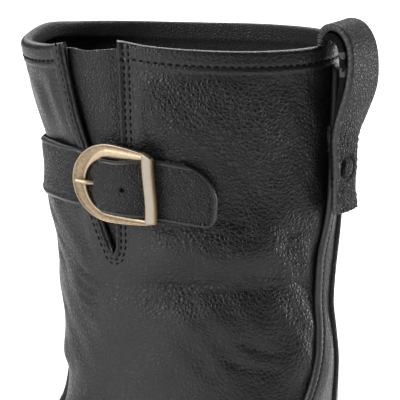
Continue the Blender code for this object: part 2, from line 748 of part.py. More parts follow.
def strap_angle_at(along):
    """The angle round the shaft at a distance along the strap from the buckle's middle."""
    angles, length = strap_run()
    return np.interp(along, length, angles)


def strap_points(along, across, offset):
    """World points of a band round the shaft: along from the buckle, across up from its middle line."""
    height = table_curve(STRAP_COURSE, along) + across
    return on_upper(shaft_section(height), strap_angle_at(along), offset)


def strap_end_inset(across):
    """How far short of the tail's end the strap stops, by height across it: two unlike round corners."""
    half = STRAP_WIDTH / 2
    top = np.maximum(across - (half - STRAP_TIP_TOP_RADIUS), 0.0)
    foot = np.maximum((STRAP_TIP_FOOT_RADIUS - half) - across, 0.0)
    top_inset = STRAP_TIP_TOP_RADIUS - np.sqrt(STRAP_TIP_TOP_RADIUS**2 - top**2)
    foot_inset = STRAP_TIP_FOOT_RADIUS - np.sqrt(STRAP_TIP_FOOT_RADIUS**2 - foot**2)
    return top_inset + foot_inset


def buckle_frame_matrix():
    """Axes of the buckle: x along the strap to the back, y up across it, z out of the shaft."""
    ahead, behind = strap_points(-BUCKLE_SPAN, 0.0, 0.0), strap_points(BUCKLE_SPAN, 0.0, 0.0)
    above, below = strap_points(0.0, BUCKLE_SPAN, 0.0), strap_points(0.0, -BUCKLE_SPAN, 0.0)
    x = Vector(behind - ahead).normalized()
    z = x.cross(Vector(above - below)).normalized()
    y = z.cross(x)
    turn = Matrix((x, y, z)).transposed().to_4x4()
    return Matrix.Translation(Vector(strap_points(0.0, 0.0, 0.0))) @ turn


def strap(material, collection, helpers):
    angles, length = strap_run()
    columns = np.arange(STRAP_START_DEG, STRAP_FINE_DEG, 360.0 / ROUND_STEPS)
    far = np.interp(np.radians(columns), angles, length)
    near = np.linspace(far[-1], STRAP_TAIL_LENGTH, STRAP_FINE_COLUMNS)
    along = np.concatenate([far[:-1], near])[:, None]
    across = STRAP_WIDTH / 2 * np.array(STRAP_ACROSS)[None, :]
    tail = smoothstep((along - STRAP_TAIL_FROM) / (STRAP_TAIL_LENGTH - STRAP_TAIL_FROM))
    along = along - strap_end_inset(across) * tail
    across = np.broadcast_to(across, along.shape)
    points = strap_points(along, across, table_curve(STRAP_LIFT, along))
    band = new_object("strap", grid_mesh("strap", points.transpose(1, 0, 2)), material, collection)
    solidify(band, STRAP_THICKNESS, 1)
    hole = Matrix.Translation((STRAP_HOLE_AT * MM, 0.0, STRAP_HOLE_LEVEL * MM)) @ Matrix.Diagonal(
        (STRAP_HOLE_LENGTH * MM, STRAP_HOLE_SIZE * MM, STRAP_HOLE_DEPTH * MM, 1.0)
    )
    cutter = new_object("strap_hole", box_mesh("strap_hole", [buckle_frame_matrix() @ hole]), None, helpers)
    boolean(band, helper(cutter), "DIFFERENCE")
    return band


def centre_bar_level():
    share = (CENTRE_BAR_AT - FRAME_ARC_CENTRE + FRAME_REACH) / (FRAME_END - FRAME_ARC_CENTRE + FRAME_REACH)
    return FRAME_LEVEL_AT_ARC + (FRAME_LEVEL_AT_END - FRAME_LEVEL_AT_ARC) * share


def frame_outline(reach, half_height, end_half_height, end):
    """A D in plan: a half ellipse at the front and two rails that draw in slightly to the end."""
    turns = np.linspace(math.pi / 2, 3 * math.pi / 2, 21)
    arc = [(FRAME_ARC_CENTRE + reach * math.cos(t), half_height * math.sin(t)) for t in turns]
    return [(end, end_half_height)] + arc + [(end, -end_half_height)]


def buckle_frame(material, collection, helpers):
    outer = frame_outline(FRAME_REACH, FRAME_HALF_HEIGHT, FRAME_END_HALF_HEIGHT, FRAME_END)
    inner = frame_outline(
        FRAME_REACH - FRAME_BAND,
        FRAME_HALF_HEIGHT - FRAME_RAIL,
        FRAME_END_HALF_HEIGHT - FRAME_END_RAIL,
        FRAME_END,
    )
    curve = bpy.data.curves.new("buckle_frame", "CURVE")
    curve.dimensions = "2D"
    curve.fill_mode = "BOTH"
    curve.extrude = FRAME_THICKNESS / 2 * MM
    outline = outer + inner[::-1]
    spline = curve.splines.new("POLY")
    spline.points.add(len(outline) - 1)
    for point, (x, y) in zip(spline.points, outline):
        point.co = (x * MM, y * MM, 0.0, 1.0)
    spline.use_cyclic_u = True
    plate = new_object("buckle_frame", curve, None, collection)
    run = FRAME_END - FRAME_ARC_CENTRE + FRAME_REACH
    tilt = math.atan2(FRAME_LEVEL_AT_END - FRAME_LEVEL_AT_ARC, run)
    front = FRAME_ARC_CENTRE - FRAME_REACH
    level = FRAME_LEVEL_AT_ARC - math.tan(tilt) * front
    local = Matrix.Translation((0.0, 0.0, level * MM)) @ Matrix.Rotation(-tilt, 4, "Y")
    plate.matrix_world = buckle_frame_matrix() @ local
    bpy.context.view_layer.update()
    frame = as_mesh(plate, material, collection)
    bar = Matrix.Translation(
        (FLAT_BAR_AT * MM, 0.0, FLAT_BAR_LEVEL * MM)
    ) @ Matrix.Diagonal(
        (FLAT_BAR_WIDTH * MM, 2 * FLAT_BAR_HALF_LENGTH * MM, FLAT_BAR_THICKNESS * MM, 1.0)
    )
    flat_bar = new_object("flat_bar", box_mesh("flat_bar", [buckle_frame_matrix() @ bar]), None, helpers)
    boolean(frame, helper(flat_bar), "UNION")
    reach = FRAME_HALF_HEIGHT - FRAME_RAIL / 2
    ends = [Vector((CENTRE_BAR_AT * MM, side * reach * MM, centre_bar_level() * MM)) for side in (-1, 1)]
    rod_points = [buckle_frame_matrix() @ end for end in ends]
    rod = tube("centre_bar", rod_points, CENTRE_BAR_RADIUS, None, helpers)
    boolean(frame, helper(rod), "UNION")
    return frame


def prong(material, collection):
    """The tongue of the buckle, from the centre bar up through the strap to the frame's arc."""
    level = centre_bar_level()
    start = CENTRE_BAR_AT - CENTRE_BAR_RADIUS - CLEARANCE - PRONG_RADIUS
    path = [ProngPoint(start, level), *PRONG_PATH]
    points = [buckle_frame_matrix() @ Vector((at.along * MM, 0.0, at.level * MM)) for at in path]
    return tube("prong", points, PRONG_RADIUS, material, collection)


def chape(material, collection, helpers):
    """The short strip that holds the buckle: sewn to the shaft, and hooked round the centre bar."""
    level = centre_bar_level()
    radius = CENTRE_BAR_RADIUS + CLEARANCE
    turns = np.linspace(-math.pi / 2, -3 * math.pi / 2, 9)
    hook = [(CENTRE_BAR_AT + radius * math.cos(t), level + radius * math.sin(t)) for t in turns]
    frame = buckle_frame_matrix()
    across = np.linspace(-CHAPE_WIDTH / 2, CHAPE_WIDTH / 2, 3)
    rows = []
    for along in np.linspace(CHAPE_END, CHAPE_BEND_AT, 8):
        rows.append(strap_points(np.full(3, along), across, CLEARANCE + CHAPE_THICKNESS))
    for x, z in hook:
        rows.append(np.array([frame @ Vector((x * MM, y * MM, z * MM)) for y in across]))
    strip = new_object("chape", grid_mesh("chape", np.stack(rows), flip=True), material, collection)
    solidify(strip, CHAPE_THICKNESS, 1)
    slot = Matrix.Translation((CENTRE_BAR_AT * MM, 0.0, level * MM)) @ Matrix.Diagonal(
        (CHAPE_SLOT_LENGTH * MM, CHAPE_SLOT * MM, CHAPE_SLOT_DEPTH * MM, 1.0)
    )
    cutter = new_object("chape_slot", box_mesh("chape_slot", [frame @ slot]), None, helpers)
    boolean(strip, helper(cutter), "DIFFERENCE")
    return strip


# The pull loop

def smooth_path(points, steps):
    """Points on a smooth curve through a route."""
    points = np.array(points, float)
    padded = np.vstack([2 * points[0] - points[1], points, 2 * points[-1] - points[-2]])
    path = []
    for i in range(len(points) - 1):
        a, b, c, d = padded[i : i + 4]
        for t in np.linspace(0.0, 1.0, steps, endpoint=False):
            turn = (2 * b) + (c - a) * t + (2 * a - 5 * b + 4 * c - d) * t**2
            path.append(0.5 * (turn + (3 * b - a - 3 * c + d) * t**3))
    return np.array(path + [points[-1]])


def pull_loop(material, collection):
    route = smooth_path(LOOP_PATH, 2)
    path, curl = route[:, :2], route[:, 2]
    tangent = np.gradient(path, axis=0)
    tangent /= np.linalg.norm(tangent, axis=1, keepdims=True)
    out = np.column_stack([tangent[:, 1], -tangent[:, 0]])
    inner = path - out * LOOP_THICKNESS / 2
    across = np.linspace(LOOP_WIDTH / 2, -LOOP_WIDTH / 2, 5)
    u = inner[:, :1] + curl[:, None] * across**2 / (2 * LOOP_CURL_RADIUS)
    points = to_world(np.stack(np.broadcast_arrays(u, across[None, :], inner[:, 1:]), axis=-1))
    band = new_object("pull_loop", grid_mesh("pull_loop", points, flip=True), material, collection)
    return solidify(band, LOOP_THICKNESS, 1)


def clear_scene():
    for thing in list(bpy.data.objects):
        bpy.data.objects.remove(thing)


def main():
    clear_scene()
    boot = bpy.data.collections.new("ankle_boot")
    helpers = bpy.data.collections.new("cutters")
    for collection in (boot, helpers):
        bpy.context.scene.collection.children.link(collection)

    leather = finish("black_grain_leather", (0.022, 0.022, 0.023), 0.48)
    lining = finish("dark_lining_leather", (0.035, 0.033, 0.031), 0.7)
    rubber = finish("black_rubber", (0.018, 0.018, 0.018), 0.62)
    welt_leather = finish("welt_leather", (0.02, 0.02, 0.02), 0.55)
    brass = finish("aged_brass", (0.62, 0.47, 0.29), 0.38, 1.0)

    outsole(rubber, boot, helpers)
    heel(welt_leather, rubber, boot)
    welt(welt_leather, boot)
    insole(lining, boot)
    upper(leather, boot, helpers)
    vamp(leather, boot, helpers)
    counter(leather, boot, helpers)
    back_piping(leather, boot)
    gusset(leather, boot)
    strap(leather, boot, helpers)
    chape(leather, boot, helpers)
    buckle_frame(brass, boot, helpers)
    prong(brass, boot)
    pull_loop(leather, boot)


main()
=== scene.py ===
"""Looks of a left pull-on ankle boot: black pebbled leather, a buckled gusset and a pull loop.

The boot stands on the floor at Z = 0, with its toe to -X and its outer side to -Y. Lengths along the
foot are called u, from the back of the heel to the toe. The angle round a section is 0 at the front,
90 at the outer side, 180 at the back and 270 at the inner side. Sizes are in millimetres.
"""

import math
from collections import namedtuple

import bmesh
import bpy
import numpy as np
from mathutils import Matrix, Vector


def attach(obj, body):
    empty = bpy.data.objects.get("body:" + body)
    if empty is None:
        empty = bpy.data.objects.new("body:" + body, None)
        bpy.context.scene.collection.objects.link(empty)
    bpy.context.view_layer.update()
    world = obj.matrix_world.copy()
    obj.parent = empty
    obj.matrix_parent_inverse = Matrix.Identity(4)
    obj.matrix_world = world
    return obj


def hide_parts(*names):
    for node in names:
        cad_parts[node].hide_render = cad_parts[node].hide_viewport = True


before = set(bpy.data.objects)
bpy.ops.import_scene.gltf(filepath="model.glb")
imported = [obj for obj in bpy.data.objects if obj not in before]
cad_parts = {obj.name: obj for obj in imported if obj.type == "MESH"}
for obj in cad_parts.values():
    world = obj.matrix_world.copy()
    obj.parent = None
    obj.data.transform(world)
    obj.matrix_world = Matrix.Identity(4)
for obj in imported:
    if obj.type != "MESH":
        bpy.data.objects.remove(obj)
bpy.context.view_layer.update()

MM = 0.001

# Sizes of the boot
COLLAR_HEIGHT = 262.0
HEEL_LINE_X = 131.0
UPPER_WALL = 2.4
LASTING_MARGIN = 11.0
LASTING_TURN = 2.6
LASTING_RISE = 0.7

FEATHER_AT_HEEL = 37.1
FEATHER_AT_BALL = 15.1
HEEL_SEAT_END = 70.0
ARCH_END = 152.0
TOE_SPRING_START = 205.0
TOE_SPRING_RUN = 75.0
TOE_SPRING_RISE = 10.0

WELT_WIDTH = 5.0
OUTSOLE_DROP = 4.6
OUTSOLE_THICKNESS = 6.5
HEEL_BREAST_U = 66.0
HEEL_MIDDLE_U = 33.0
HEEL_INSET = 0.6
HEEL_LIFT_HEIGHT = 7.0
HEEL_TAPER = 0.95

LUG_HEIGHT = 4.3
LUG_SUNK = 1.5
LUG_LENGTH = 8.5
LUG_PITCH = 13.0
LUG_COUNT = 9
LUG_FIRST_U = 148.0
LUG_SPINE = 7.0
LUG_EDGE_MARGIN = 4.0
LUG_SWEEP_DEG = 14.0
LUG_REACH = 10.0

VAMP_HEIGHT = 2.2  # over the upper's outer face
COUNTER_HEIGHT = 2.5
PIPING_RADIUS = 0.95
PIPING_SEAT = 0.45  # how far the rib's middle stands over the back stay

STRAP_WIDTH = 21.6
STRAP_THICKNESS = 1.8
STRAP_START_DEG = -160.0
STRAP_FAR_DEG = 150.0
STRAP_TAIL_LENGTH = 38.8
STRAP_TAIL_FROM = 14.0
STRAP_TIP_TOP_RADIUS = 13.0
STRAP_TIP_FOOT_RADIUS = 5.0
BUCKLE_DEG = 79.0
BUCKLE_HEIGHT = 208.7
BUCKLE_SPAN = 5.0

FRAME_ARC_CENTRE = -4.0
FRAME_REACH = 17.0
FRAME_BAND = 6.1
FRAME_HALF_HEIGHT = 15.5
FRAME_FOOT = 16.2
FRAME_RAIL = 2.9
FRAME_TOP_RAIL = 6.0
FRAME_END_TOP = 14.0
FRAME_END_RAIL = 1.8
FRAME_END_FOOT = 14.1
FRAME_END = 15.5
FRAME_LEVEL = 3.95
FLAT_BAR_AT = 15.5
FLAT_BAR_WIDTH = 4.6
FLAT_BAR_HALF_LENGTH = 14.0
FLAT_BAR_THICKNESS = 2.4
FLAT_BAR_LEVEL = 5.1
CENTRE_BAR_AT = 1.5
CENTRE_BAR_RADIUS = 0.9
PRONG_RADIUS = 1.0
PRONG_ACROSS = -1.2

LOOP_THICKNESS = 3.0
LOOP_CURL_RADIUS = 30.0

# The sections of the last, as in the solids
Section = namedtuple(
    "Section",
    "follow rise z_front u_front z_back u_back half_width widest"
    " n_front n_back waist_outer waist_inner swing",
)
SECTIONS = [
    Section(1.00, 3.0, 25.6, 269.5, 40.1, 3.0, 45.5, 0.665, 2.30, 2.55, 0.13, 0.30, 6.0),
    Section(1.00, 11.0, 34.0, 272.5, 48.1, 0.8, 48.5, 0.665, 2.30, 2.55, 0.12, 0.25, 6.0),
    Section(0.85, 23.0, 46.0, 270.5, 60.0, 0.0, 47.5, 0.655, 2.25, 2.50, 0.10, 0.19, 6.0),
    Section(0.35, 30.0, 56.0, 262.0, 68.0, 0.0, 42.0, 0.600, 2.15, 2.50, 0.04, 0.08, 5.0),
    Section(0.00, 36.0, 65.5, 240.0, 77.0, 0.4, 37.0, 0.460, 1.95, 2.45, 0.00, 0.01, 4.0),
    Section(0.00, 42.0, 71.5, 205.0, 86.0, 1.2, 35.8, 0.420, 1.90, 2.40, 0.00, 0.00, 3.0),
    Section(0.00, 48.0, 81.5, 165.0, 95.0, 2.0, 35.8, 0.450, 1.95, 2.35, 0.00, 0.00, 2.0),
    Section(0.00, 54.0, 94.5, 134.0, 104.0, 2.6, 36.6, 0.480, 2.05, 2.30, 0.00, 0.00, 1.0),
    Section(0.00, 60.0, 107.0, 117.6, 112.0, 2.9, 36.6, 0.500, 2.10, 2.10, 0.00, 0.00, 0.0),
    Section(0.00, 66.0, 121.0, 113.4, 123.0, 2.8, 36.9, 0.500, 2.10, 1.95, 0.00, 0.00, 0.0),
    Section(0.00, 72.0, 136.7, 113.7, 136.7, 2.6, 37.3, 0.500, 2.10, 1.90, 0.00, 0.00, 0.0),
    Section(0.00, 72.0, 148.0, 115.2, 148.0, 3.7, 37.8, 0.500, 2.10, 1.88, 0.00, 0.00, 0.0),
    Section(0.00, 72.0, 160.0, 117.0, 160.0, 4.9, 38.4, 0.500, 2.10, 1.88, 0.00, 0.00, 0.0),
    Section(0.00, 72.0, 178.0, 118.0, 178.0, 3.5, 39.9, 0.500, 2.10, 1.90, 0.00, 0.00, 0.0),
    Section(0.00, 72.0, 195.6, 122.0, 195.6, 0.8, 41.5, 0.500, 2.12, 1.92, 0.00, 0.00, 0.0),
    Section(0.00, 72.0, 211.0, 119.8, 211.0, 0.6, 42.8, 0.500, 2.15, 1.95, 0.00, 0.00, 0.0),
    Section(0.00, 72.0, 236.0, 126.8, 236.0, 0.6, 45.3, 0.500, 2.20, 2.00, 0.00, 0.00, 0.0),
    Section(0.00, 72.0, COLLAR_HEIGHT, 132.0, COLLAR_HEIGHT, 0.7, 46.8, 0.500, 2.25, 2.00, 0.00, 0.00, 0.0),
]
COLUMNS = np.array(SECTIONS, float)
COLLAR = len(SECTIONS) - 1.0
FIRST_SHAFT_SECTION = 10
WAIST_AT = 0.42
WAIST_SPREAD = 0.17
SWING_FROM = 0.45
GIRTH_PER_DEGREE = 0.86  # mean length of a degree round the shaft

# The collar's edge over its plane
RimRow = namedtuple("RimRow", "angle_deg lift")
RIM = [
    RimRow(-27.0, -0.6),
    RimRow(-18.0, -0.1),
    RimRow(-10.0, 0.1),
    RimRow(0.0, -0.7),
    RimRow(10.0, -1.9),
    RimRow(20.0, -2.6),
    RimRow(32.0, -2.8),
    RimRow(46.0, -2.4),
    RimRow(54.0, -1.7),
    RimRow(61.0, -0.2),
    RimRow(82.0, 2.8),
    RimRow(95.0, 1.2),
    RimRow(115.0, 0.1),
    RimRow(165.0, -0.2),
    RimRow(190.0, 0.6),
    RimRow(222.0, 1.0),
    RimRow(250.0, 0.1),
    RimRow(290.0, -1.3),
    RimRow(317.0, -1.0),
    RimRow(333.0, -0.6),
    RimRow(342.0, -0.1),
    RimRow(350.0, 0.1),
    RimRow(360.0, -0.7),
    RimRow(370.0, -1.9),
]
RIM_DEPTH = 40.0

# Edges of the slit, by height
SLIT_FOOT_HEIGHT = 178.8
SlitRow = namedtuple("SlitRow", "height front_deg back_deg")
SLIT = [
    SlitRow(SLIT_FOOT_HEIGHT, 72.8, 72.8),
    SlitRow(181.8, 71.3, 74.0),
    SlitRow(186.0, 70.2, 74.7),
    SlitRow(192.0, 68.7, 75.5),
    SlitRow(206.0, 65.9, 77.4),
    SlitRow(224.0, 63.4, 80.2),
    SlitRow(238.0, 62.6, 82.2),
    SlitRow(250.0, 62.0, 83.3),
    SlitRow(270.0, 61.6, 84.9),
]

# Half width of the back stay as an angle, by section
CounterRow = namedtuple("CounterRow", "section half_angle_deg")
COUNTER_EDGE = [
    CounterRow(0.0, 54.0),
    CounterRow(2.0, 53.0),
    CounterRow(4.0, 50.0),
    CounterRow(6.0, 41.0),
    CounterRow(8.0, 28.5),
    CounterRow(8.92, 22.0),
    CounterRow(9.46, 17.6),
    CounterRow(10.18, 13.6),
    CounterRow(10.7, 11.7),
    CounterRow(11.7, 9.6),
    CounterRow(12.5, 9.8),
    CounterRow(13.0, 10.2),
    CounterRow(13.6, 9.0),
    CounterRow(14.3, 7.6),
    CounterRow(15.4, 5.4),
    CounterRow(16.2, 3.6),
    CounterRow(COLLAR, 1.4),
]

# The vamp's edge as an angle from the front
VampRow = namedtuple("VampRow", "section edge_angle_deg")
VAMP_EDGE = [
    VampRow(0.0, 114.0),
    VampRow(1.0, 113.5),
    VampRow(2.0, 111.5),
    VampRow(2.5, 109.0),
    VampRow(3.0, 105.0),
    VampRow(3.5, 95.5),
    VampRow(4.0, 84.0),
    VampRow(4.5, 76.0),
    VampRow(5.0, 69.0),
    VampRow(5.5, 61.0),
    VampRow(6.0, 51.0),
    VampRow(6.5, 39.0),
    VampRow(7.0, 27.5),
    VampRow(7.5, 19.0),
    VampRow(8.0, 14.0),
    VampRow(8.55, 9.0),
    VampRow(9.2, 6.0),
    VampRow(9.8, 3.6),
    VampRow(10.05, 1.2),
]

# Height of the strap's middle line, by distance from the buckle's middle
StrapCourse = namedtuple("StrapCourse", "along height")
STRAP_COURSE = [
    StrapCourse(-300.0, 209.0),
    StrapCourse(-80.0, 209.2),
    StrapCourse(-60.0, 209.6),
    StrapCourse(-40.0, 210.4),
    StrapCourse(-20.0, 209.9),
    StrapCourse(0.0, BUCKLE_HEIGHT),
    StrapCourse(16.0, 206.9),
    StrapCourse(30.0, 205.0),
    StrapCourse(42.0, 203.5),
]

# Height of the strap's inner face over the shaft, by distance from the buckle's middle
StrapRow = namedtuple("StrapRow", "along lift")
STRAP_LIFT = [
    StrapRow(-300.0, 0.45),
    StrapRow(-30.0, 0.45),
    StrapRow(-17.0, 0.4),
    StrapRow(-15.4, 0.9),
    StrapRow(-13.6, 2.7),
    StrapRow(-12.0, 4.0),
    StrapRow(-10.0, 5.0),
    StrapRow(-6.0, 5.7),
    StrapRow(-2.0, 5.9),
    StrapRow(1.5, 5.9),
    StrapRow(5.0, 5.3),
    StrapRow(9.0, 3.6),
    StrapRow(12.5, 1.9),
    StrapRow(18.0, 1.7),
    StrapRow(29.0, 1.6),
    StrapRow(42.0, 1.1),
]

# The pull loop's two plies seen from the side: u, height, how far it curls, half width and twist
LoopPoint = namedtuple("LoopPoint", "u height curl half_width twist")
LOOP_PATH = [
    LoopPoint(2.1, 255.0, 0.9, 9.0, 0.0),
    LoopPoint(2.1, 261.5, 0.8, 9.0, 0.0),
    LoopPoint(2.1, 265.2, 0.5, 9.2, 0.0),
    LoopPoint(0.4, 268.4, 0.3, 9.8, 0.1),
    LoopPoint(-3.2, 269.6, 0.2, 10.6, 0.2),
    LoopPoint(-7.4, 267.9, 0.1, 11.2, 0.3),
    LoopPoint(-10.8, 262.5, 0.1, 11.4, 0.5),
    LoopPoint(-11.9, 254.5, 0.1, 11.6, 0.8),
    LoopPoint(-11.1, 244.5, 0.2, 11.7, 1.2),
    LoopPoint(-7.7, 233.5, 0.4, 11.2, 1.0),
    LoopPoint(-5.5, 225.5, 0.6, 10.4, 0.4),
    LoopPoint(-5.3, 216.0, 0.6, 10.0, 0.0),
    LoopPoint(-4.9, 205.0, 0.6, 9.4, 0.0),
    LoopPoint(-5.4, 196.0, 0.6, 10.2, 0.0),
]
LOOP_INNER_PATH = [
    LoopPoint(1.4, 261.5, 0.6, 9.0, 0.0),
    LoopPoint(0.4, 264.6, 0.4, 9.2, 0.1),
    LoopPoint(-2.8, 265.6, 0.3, 9.6, 0.2),
    LoopPoint(-6.4, 262.0, 0.3, 9.8, 0.3),
    LoopPoint(-7.7, 253.0, 0.3, 9.8, 0.5),
    LoopPoint(-7.3, 243.0, 0.4, 9.8, 0.6),
    LoopPoint(-5.5, 233.0, 0.5, 9.6, 0.5),
    LoopPoint(-3.9, 224.0, 0.6, 9.4, 0.2),
    LoopPoint(-3.8, 214.0, 0.6, 9.2, 0.0),
    LoopPoint(-3.7, 206.0, 0.6, 8.8, 0.0),
]

CREASE_FADE = 0.3  # share of a crease's length in which it fades at each end
CREASE_GRAIN = 0.5  # how much coarser the grain is in a crease

# Creases of the shaft: from and to (angle, height), how far the middle hangs, width and height.
# A crease of negative height is a trough, a positive one a ridge.
Crease = namedtuple("Crease", "from_deg from_z to_deg to_z hang width height")
CREASES = [
    Crease(84.0, 168.0, 122.0, 168.8, -1.0, 1.0, -0.88),
    Crease(96.0, 164.6, 154.0, 168.4, -1.0, 0.9, -1.04),
    Crease(86.0, 162.0, 128.0, 163.2, -0.8, 1.1, -0.80),
    Crease(104.0, 166.4, 140.0, 166.4, 0.6, 1.0, 0.56),
    Crease(92.0, 159.0, 116.0, 160.0, -0.6, 1.0, -0.56),
    Crease(126.0, 171.4, 152.0, 172.4, -0.8, 1.0, -0.64),
    Crease(88.0, 194.0, 103.0, 196.0, 1.0, 0.9, -0.88),
    Crease(90.0, 191.0, 117.0, 193.2, -1.0, 1.0, -0.96),
    Crease(99.0, 188.0, 126.0, 191.0, -0.8, 0.9, -0.72),
    Crease(112.0, 194.6, 132.0, 191.6, 0.8, 0.9, -0.72),
    Crease(120.0, 187.0, 138.0, 189.0, -0.6, 0.9, -0.56),
    Crease(146.0, 188.0, 159.0, 186.0, 0.8, 1.0, -0.72),
    Crease(144.0, 182.6, 161.0, 180.4, 0.8, 0.9, -0.80),
    Crease(148.0, 178.0, 164.0, 175.0, 0.6, 0.9, -0.80),
    Crease(151.0, 173.6, 165.0, 170.6, 0.6, 0.9, -0.80),
    Crease(153.0, 169.0, 166.0, 166.0, 0.5, 0.9, -0.64),
    Crease(50.0, 172.6, 67.0, 166.6, -2.2, 1.1, -0.88),
    Crease(49.0, 167.0, 66.0, 161.6, -2.0, 1.0, -0.88),
    Crease(49.0, 161.4, 64.0, 157.4, -1.6, 1.0, -0.72),
    Crease(50.0, 155.6, 62.0, 152.4, -1.2, 1.0, -0.56),
    Crease(22.0, 197.0, 40.0, 185.0, 1.0, 1.4, -0.40),
    Crease(26.0, 188.0, 43.0, 175.0, 1.0, 1.3, -0.40),
    Crease(22.0, 178.0, 41.0, 166.0, 1.0, 1.3, -0.40),
    Crease(22.0, 168.0, 38.0, 157.0, 1.0, 1.2, -0.35),
    Crease(20.0, 158.0, 36.0, 148.0, 1.0, 1.2, -0.35),
    Crease(112.0, 141.0, 146.0, 133.0, -1.6, 1.6, -0.72),
    Crease(120.0, 148.0, 150.0, 140.0, -1.4, 1.5, -0.56),
    Crease(218.0, 172.0, 262.0, 168.0, -1.2, 1.2, -0.88),
    Crease(228.0, 166.0, 276.0, 164.0, -1.0, 1.1, -0.88),
    Crease(236.0, 160.4, 284.0, 160.0, -1.0, 1.1, -0.72),
    Crease(290.0, 166.0, 326.0, 158.0, -1.6, 1.2, -0.80),
    Crease(286.0, 158.0, 322.0, 151.0, -1.4, 1.2, -0.72),
    Crease(270.0, 186.0, 306.0, 190.0, -0.8, 1.1, -0.64),
]

# Broad swells and hollows of the shaft: place, spread round and up, and height
Swell = namedtuple("Swell", "angle_deg z girth rise height")
SWELLS = [
    Swell(99.0, 231.0, 11.0, 15.0, 2.0),
    Swell(89.5, 230.0, 3.5, 18.0, -0.8),
    Swell(90.0, 222.0, 12.0, 7.0, -1.7),
    Swell(101.0, 236.0, 17.0, 13.0, 1.9),
    Swell(127.0, 205.0, 9.0, 14.0, -1.4),
    Swell(150.0, 208.0, 24.0, 32.0, -1.9),
    Swell(112.0, 181.0, 28.0, 7.0, 1.9),
    Swell(120.0, 166.5, 32.0, 5.0, -1.7),
    Swell(112.0, 153.0, 30.0, 7.0, 1.0),
    Swell(140.0, 184.0, 10.0, 10.0, 0.9),
    Swell(46.0, 238.0, 4.5, 16.0, -1.3),
    Swell(55.0, 236.0, 4.0, 18.0, 0.5),
    Swell(58.0, 186.0, 7.0, 10.0, -0.8),
    Swell(24.0, 131.0, 12.0, 9.0, 1.6),
    Swell(250.0, 166.0, 30.0, 5.0, -0.9),
]

# Where the leather is drawn up into coarse pebbles: place, spread round and up, and strength
Pebbles = namedtuple("Pebbles", "angle_deg z girth rise strength")
PEBBLY = [
    Pebbles(104.0, 241.0, 20.0, 14.0, 1.0),
    Pebbles(138.0, 226.0, 18.0, 26.0, 0.80),
    Pebbles(112.0, 188.0, 22.0, 8.0, 0.50),
    Pebbles(118.0, 164.0, 32.0, 7.0, 0.55),
    Pebbles(155.0, 180.0, 8.0, 11.0, 0.45),
    Pebbles(250.0, 168.0, 34.0, 9.0, 0.50),
    Pebbles(270.0, 232.0, 50.0, 22.0, 0.40),
]
SMOOTH_GRAIN = 0.38  # how coarse the grain is away from these

# Slow waves of the hide: height, waves in a turn of the shaft, how they climb, and start
HideWave = namedtuple("HideWave", "height turns climb start")
HIDE_WAVES = [
    HideWave(0.26, 5, 0.09, 0.0),
    HideWave(0.20, 11, -0.17, 1.3),
    HideWave(0.13, 23, 0.31, 0.7),
]

# Where creases and swells begin: over the foot, off the slit and under the rim
CREASED_FROM = 118.0
CREASED_RUN = 14.0
FREE_OF_SLIT = 5.0
FREE_OF_RIM = 9.0
FREE_RUN = 6.0

STRAP_GRIP_DEPTH = 0.5  # how far the leather is pulled in under the strap
STRAP_GRIP_REACH = 15.0

# Seams of the collar and the slit, as distances from the edge
COLLAR_SEAM_DEPTH = 6.2
COLLAR_FACING_DEPTH = 8.6
COLLAR_BAND_HEIGHT = 0.45
COLLAR_BAND_STEP = 1.0
COLLAR_BAND_STOP = 1.5  # how far from the slit the hem ends
SECOND_SEAM_TOP = 206.0
SEAM_GROOVE_WIDTH = 0.8
SEAM_GROOVE_DEPTH = 0.38
SLIT_SEAMS = (2.2, 3.9)
SLIT_BAND = 5.2
SLIT_BAND_HEIGHT = 0.45
SLIT_BAND_STEP = 1.2
SLIT_BEAD_HEIGHT = 0.8
SLIT_BEAD_AT = 1.1
SLIT_BEAD_WIDTH = 0.85
SLIT_GROOVE_DEPTHS = (0.55, 0.5)
SLIT_GROOVE_WIDTH = 0.6
FACING_DEPTH = 7.4
FACING_STEP = 0.8
FACING_RIDGE = 0.35
FACING_EDGE = 0.8  # how wide the facing's lower edge is
INNER_GRAIN = 0.4
EDGE_ROUND = 1.5
SLIT_ROUND = 1.15
SLIT_ROUND_RUN = 3.0  # height over the slit's foot in which its edges become round
LIP_ROUND = 0.8  # how much rounder the collar's edge is at the front
LIP_REACH_DEG = 62.0
LIP_FADE_DEG = 20.0
SOFT_ROUND = 0.9


# The shape of the last

def smoothstep(value):
    """0 below 0, 1 above 1, and a soft ramp between."""
    t = np.clip(value, 0.0, 1.0)
    return t * t * (3.0 - 2.0 * t)


def bell(distance, width):
    """A soft bump: 1 at no distance, and next to 0 from two widths on."""
    return np.exp(-((distance / width) ** 2))


def unit(vectors):
    """The same directions, each of length 1."""
    return vectors / np.linalg.norm(vectors, axis=-1, keepdims=True)


def table_curve(rows, at, column=1):
    """A column of a table at a value of its first column, on a smooth curve through the rows."""
    x = np.array([row[0] for row in rows], float)
    y = np.array([row[column] for row in rows], float)
    slope = np.gradient(y, x)
    at = np.asarray(at, float)
    i = np.clip(np.searchsorted(x, at) - 1, 0, len(x) - 2)
    step = x[i + 1] - x[i]
    t = np.clip((at - x[i]) / step, 0.0, 1.0)
    start = (2 * t**3 - 3 * t**2 + 1) * y[i] + (t**3 - 2 * t**2 + t) * step * slope[i]
    return start + (3 * t**2 - 2 * t**3) * y[i + 1] + (t**3 - t**2) * step * slope[i + 1]


def feather(u):
    """Height of the line where the upper meets the sole."""
    arch = smoothstep((u - HEEL_SEAT_END) / (ARCH_END - HEEL_SEAT_END))
    spring = np.maximum(u - TOE_SPRING_START, 0.0) / TOE_SPRING_RUN
    return FEATHER_AT_HEEL + (FEATHER_AT_BALL - FEATHER_AT_HEEL) * arch + TOE_SPRING_RISE * spring**2


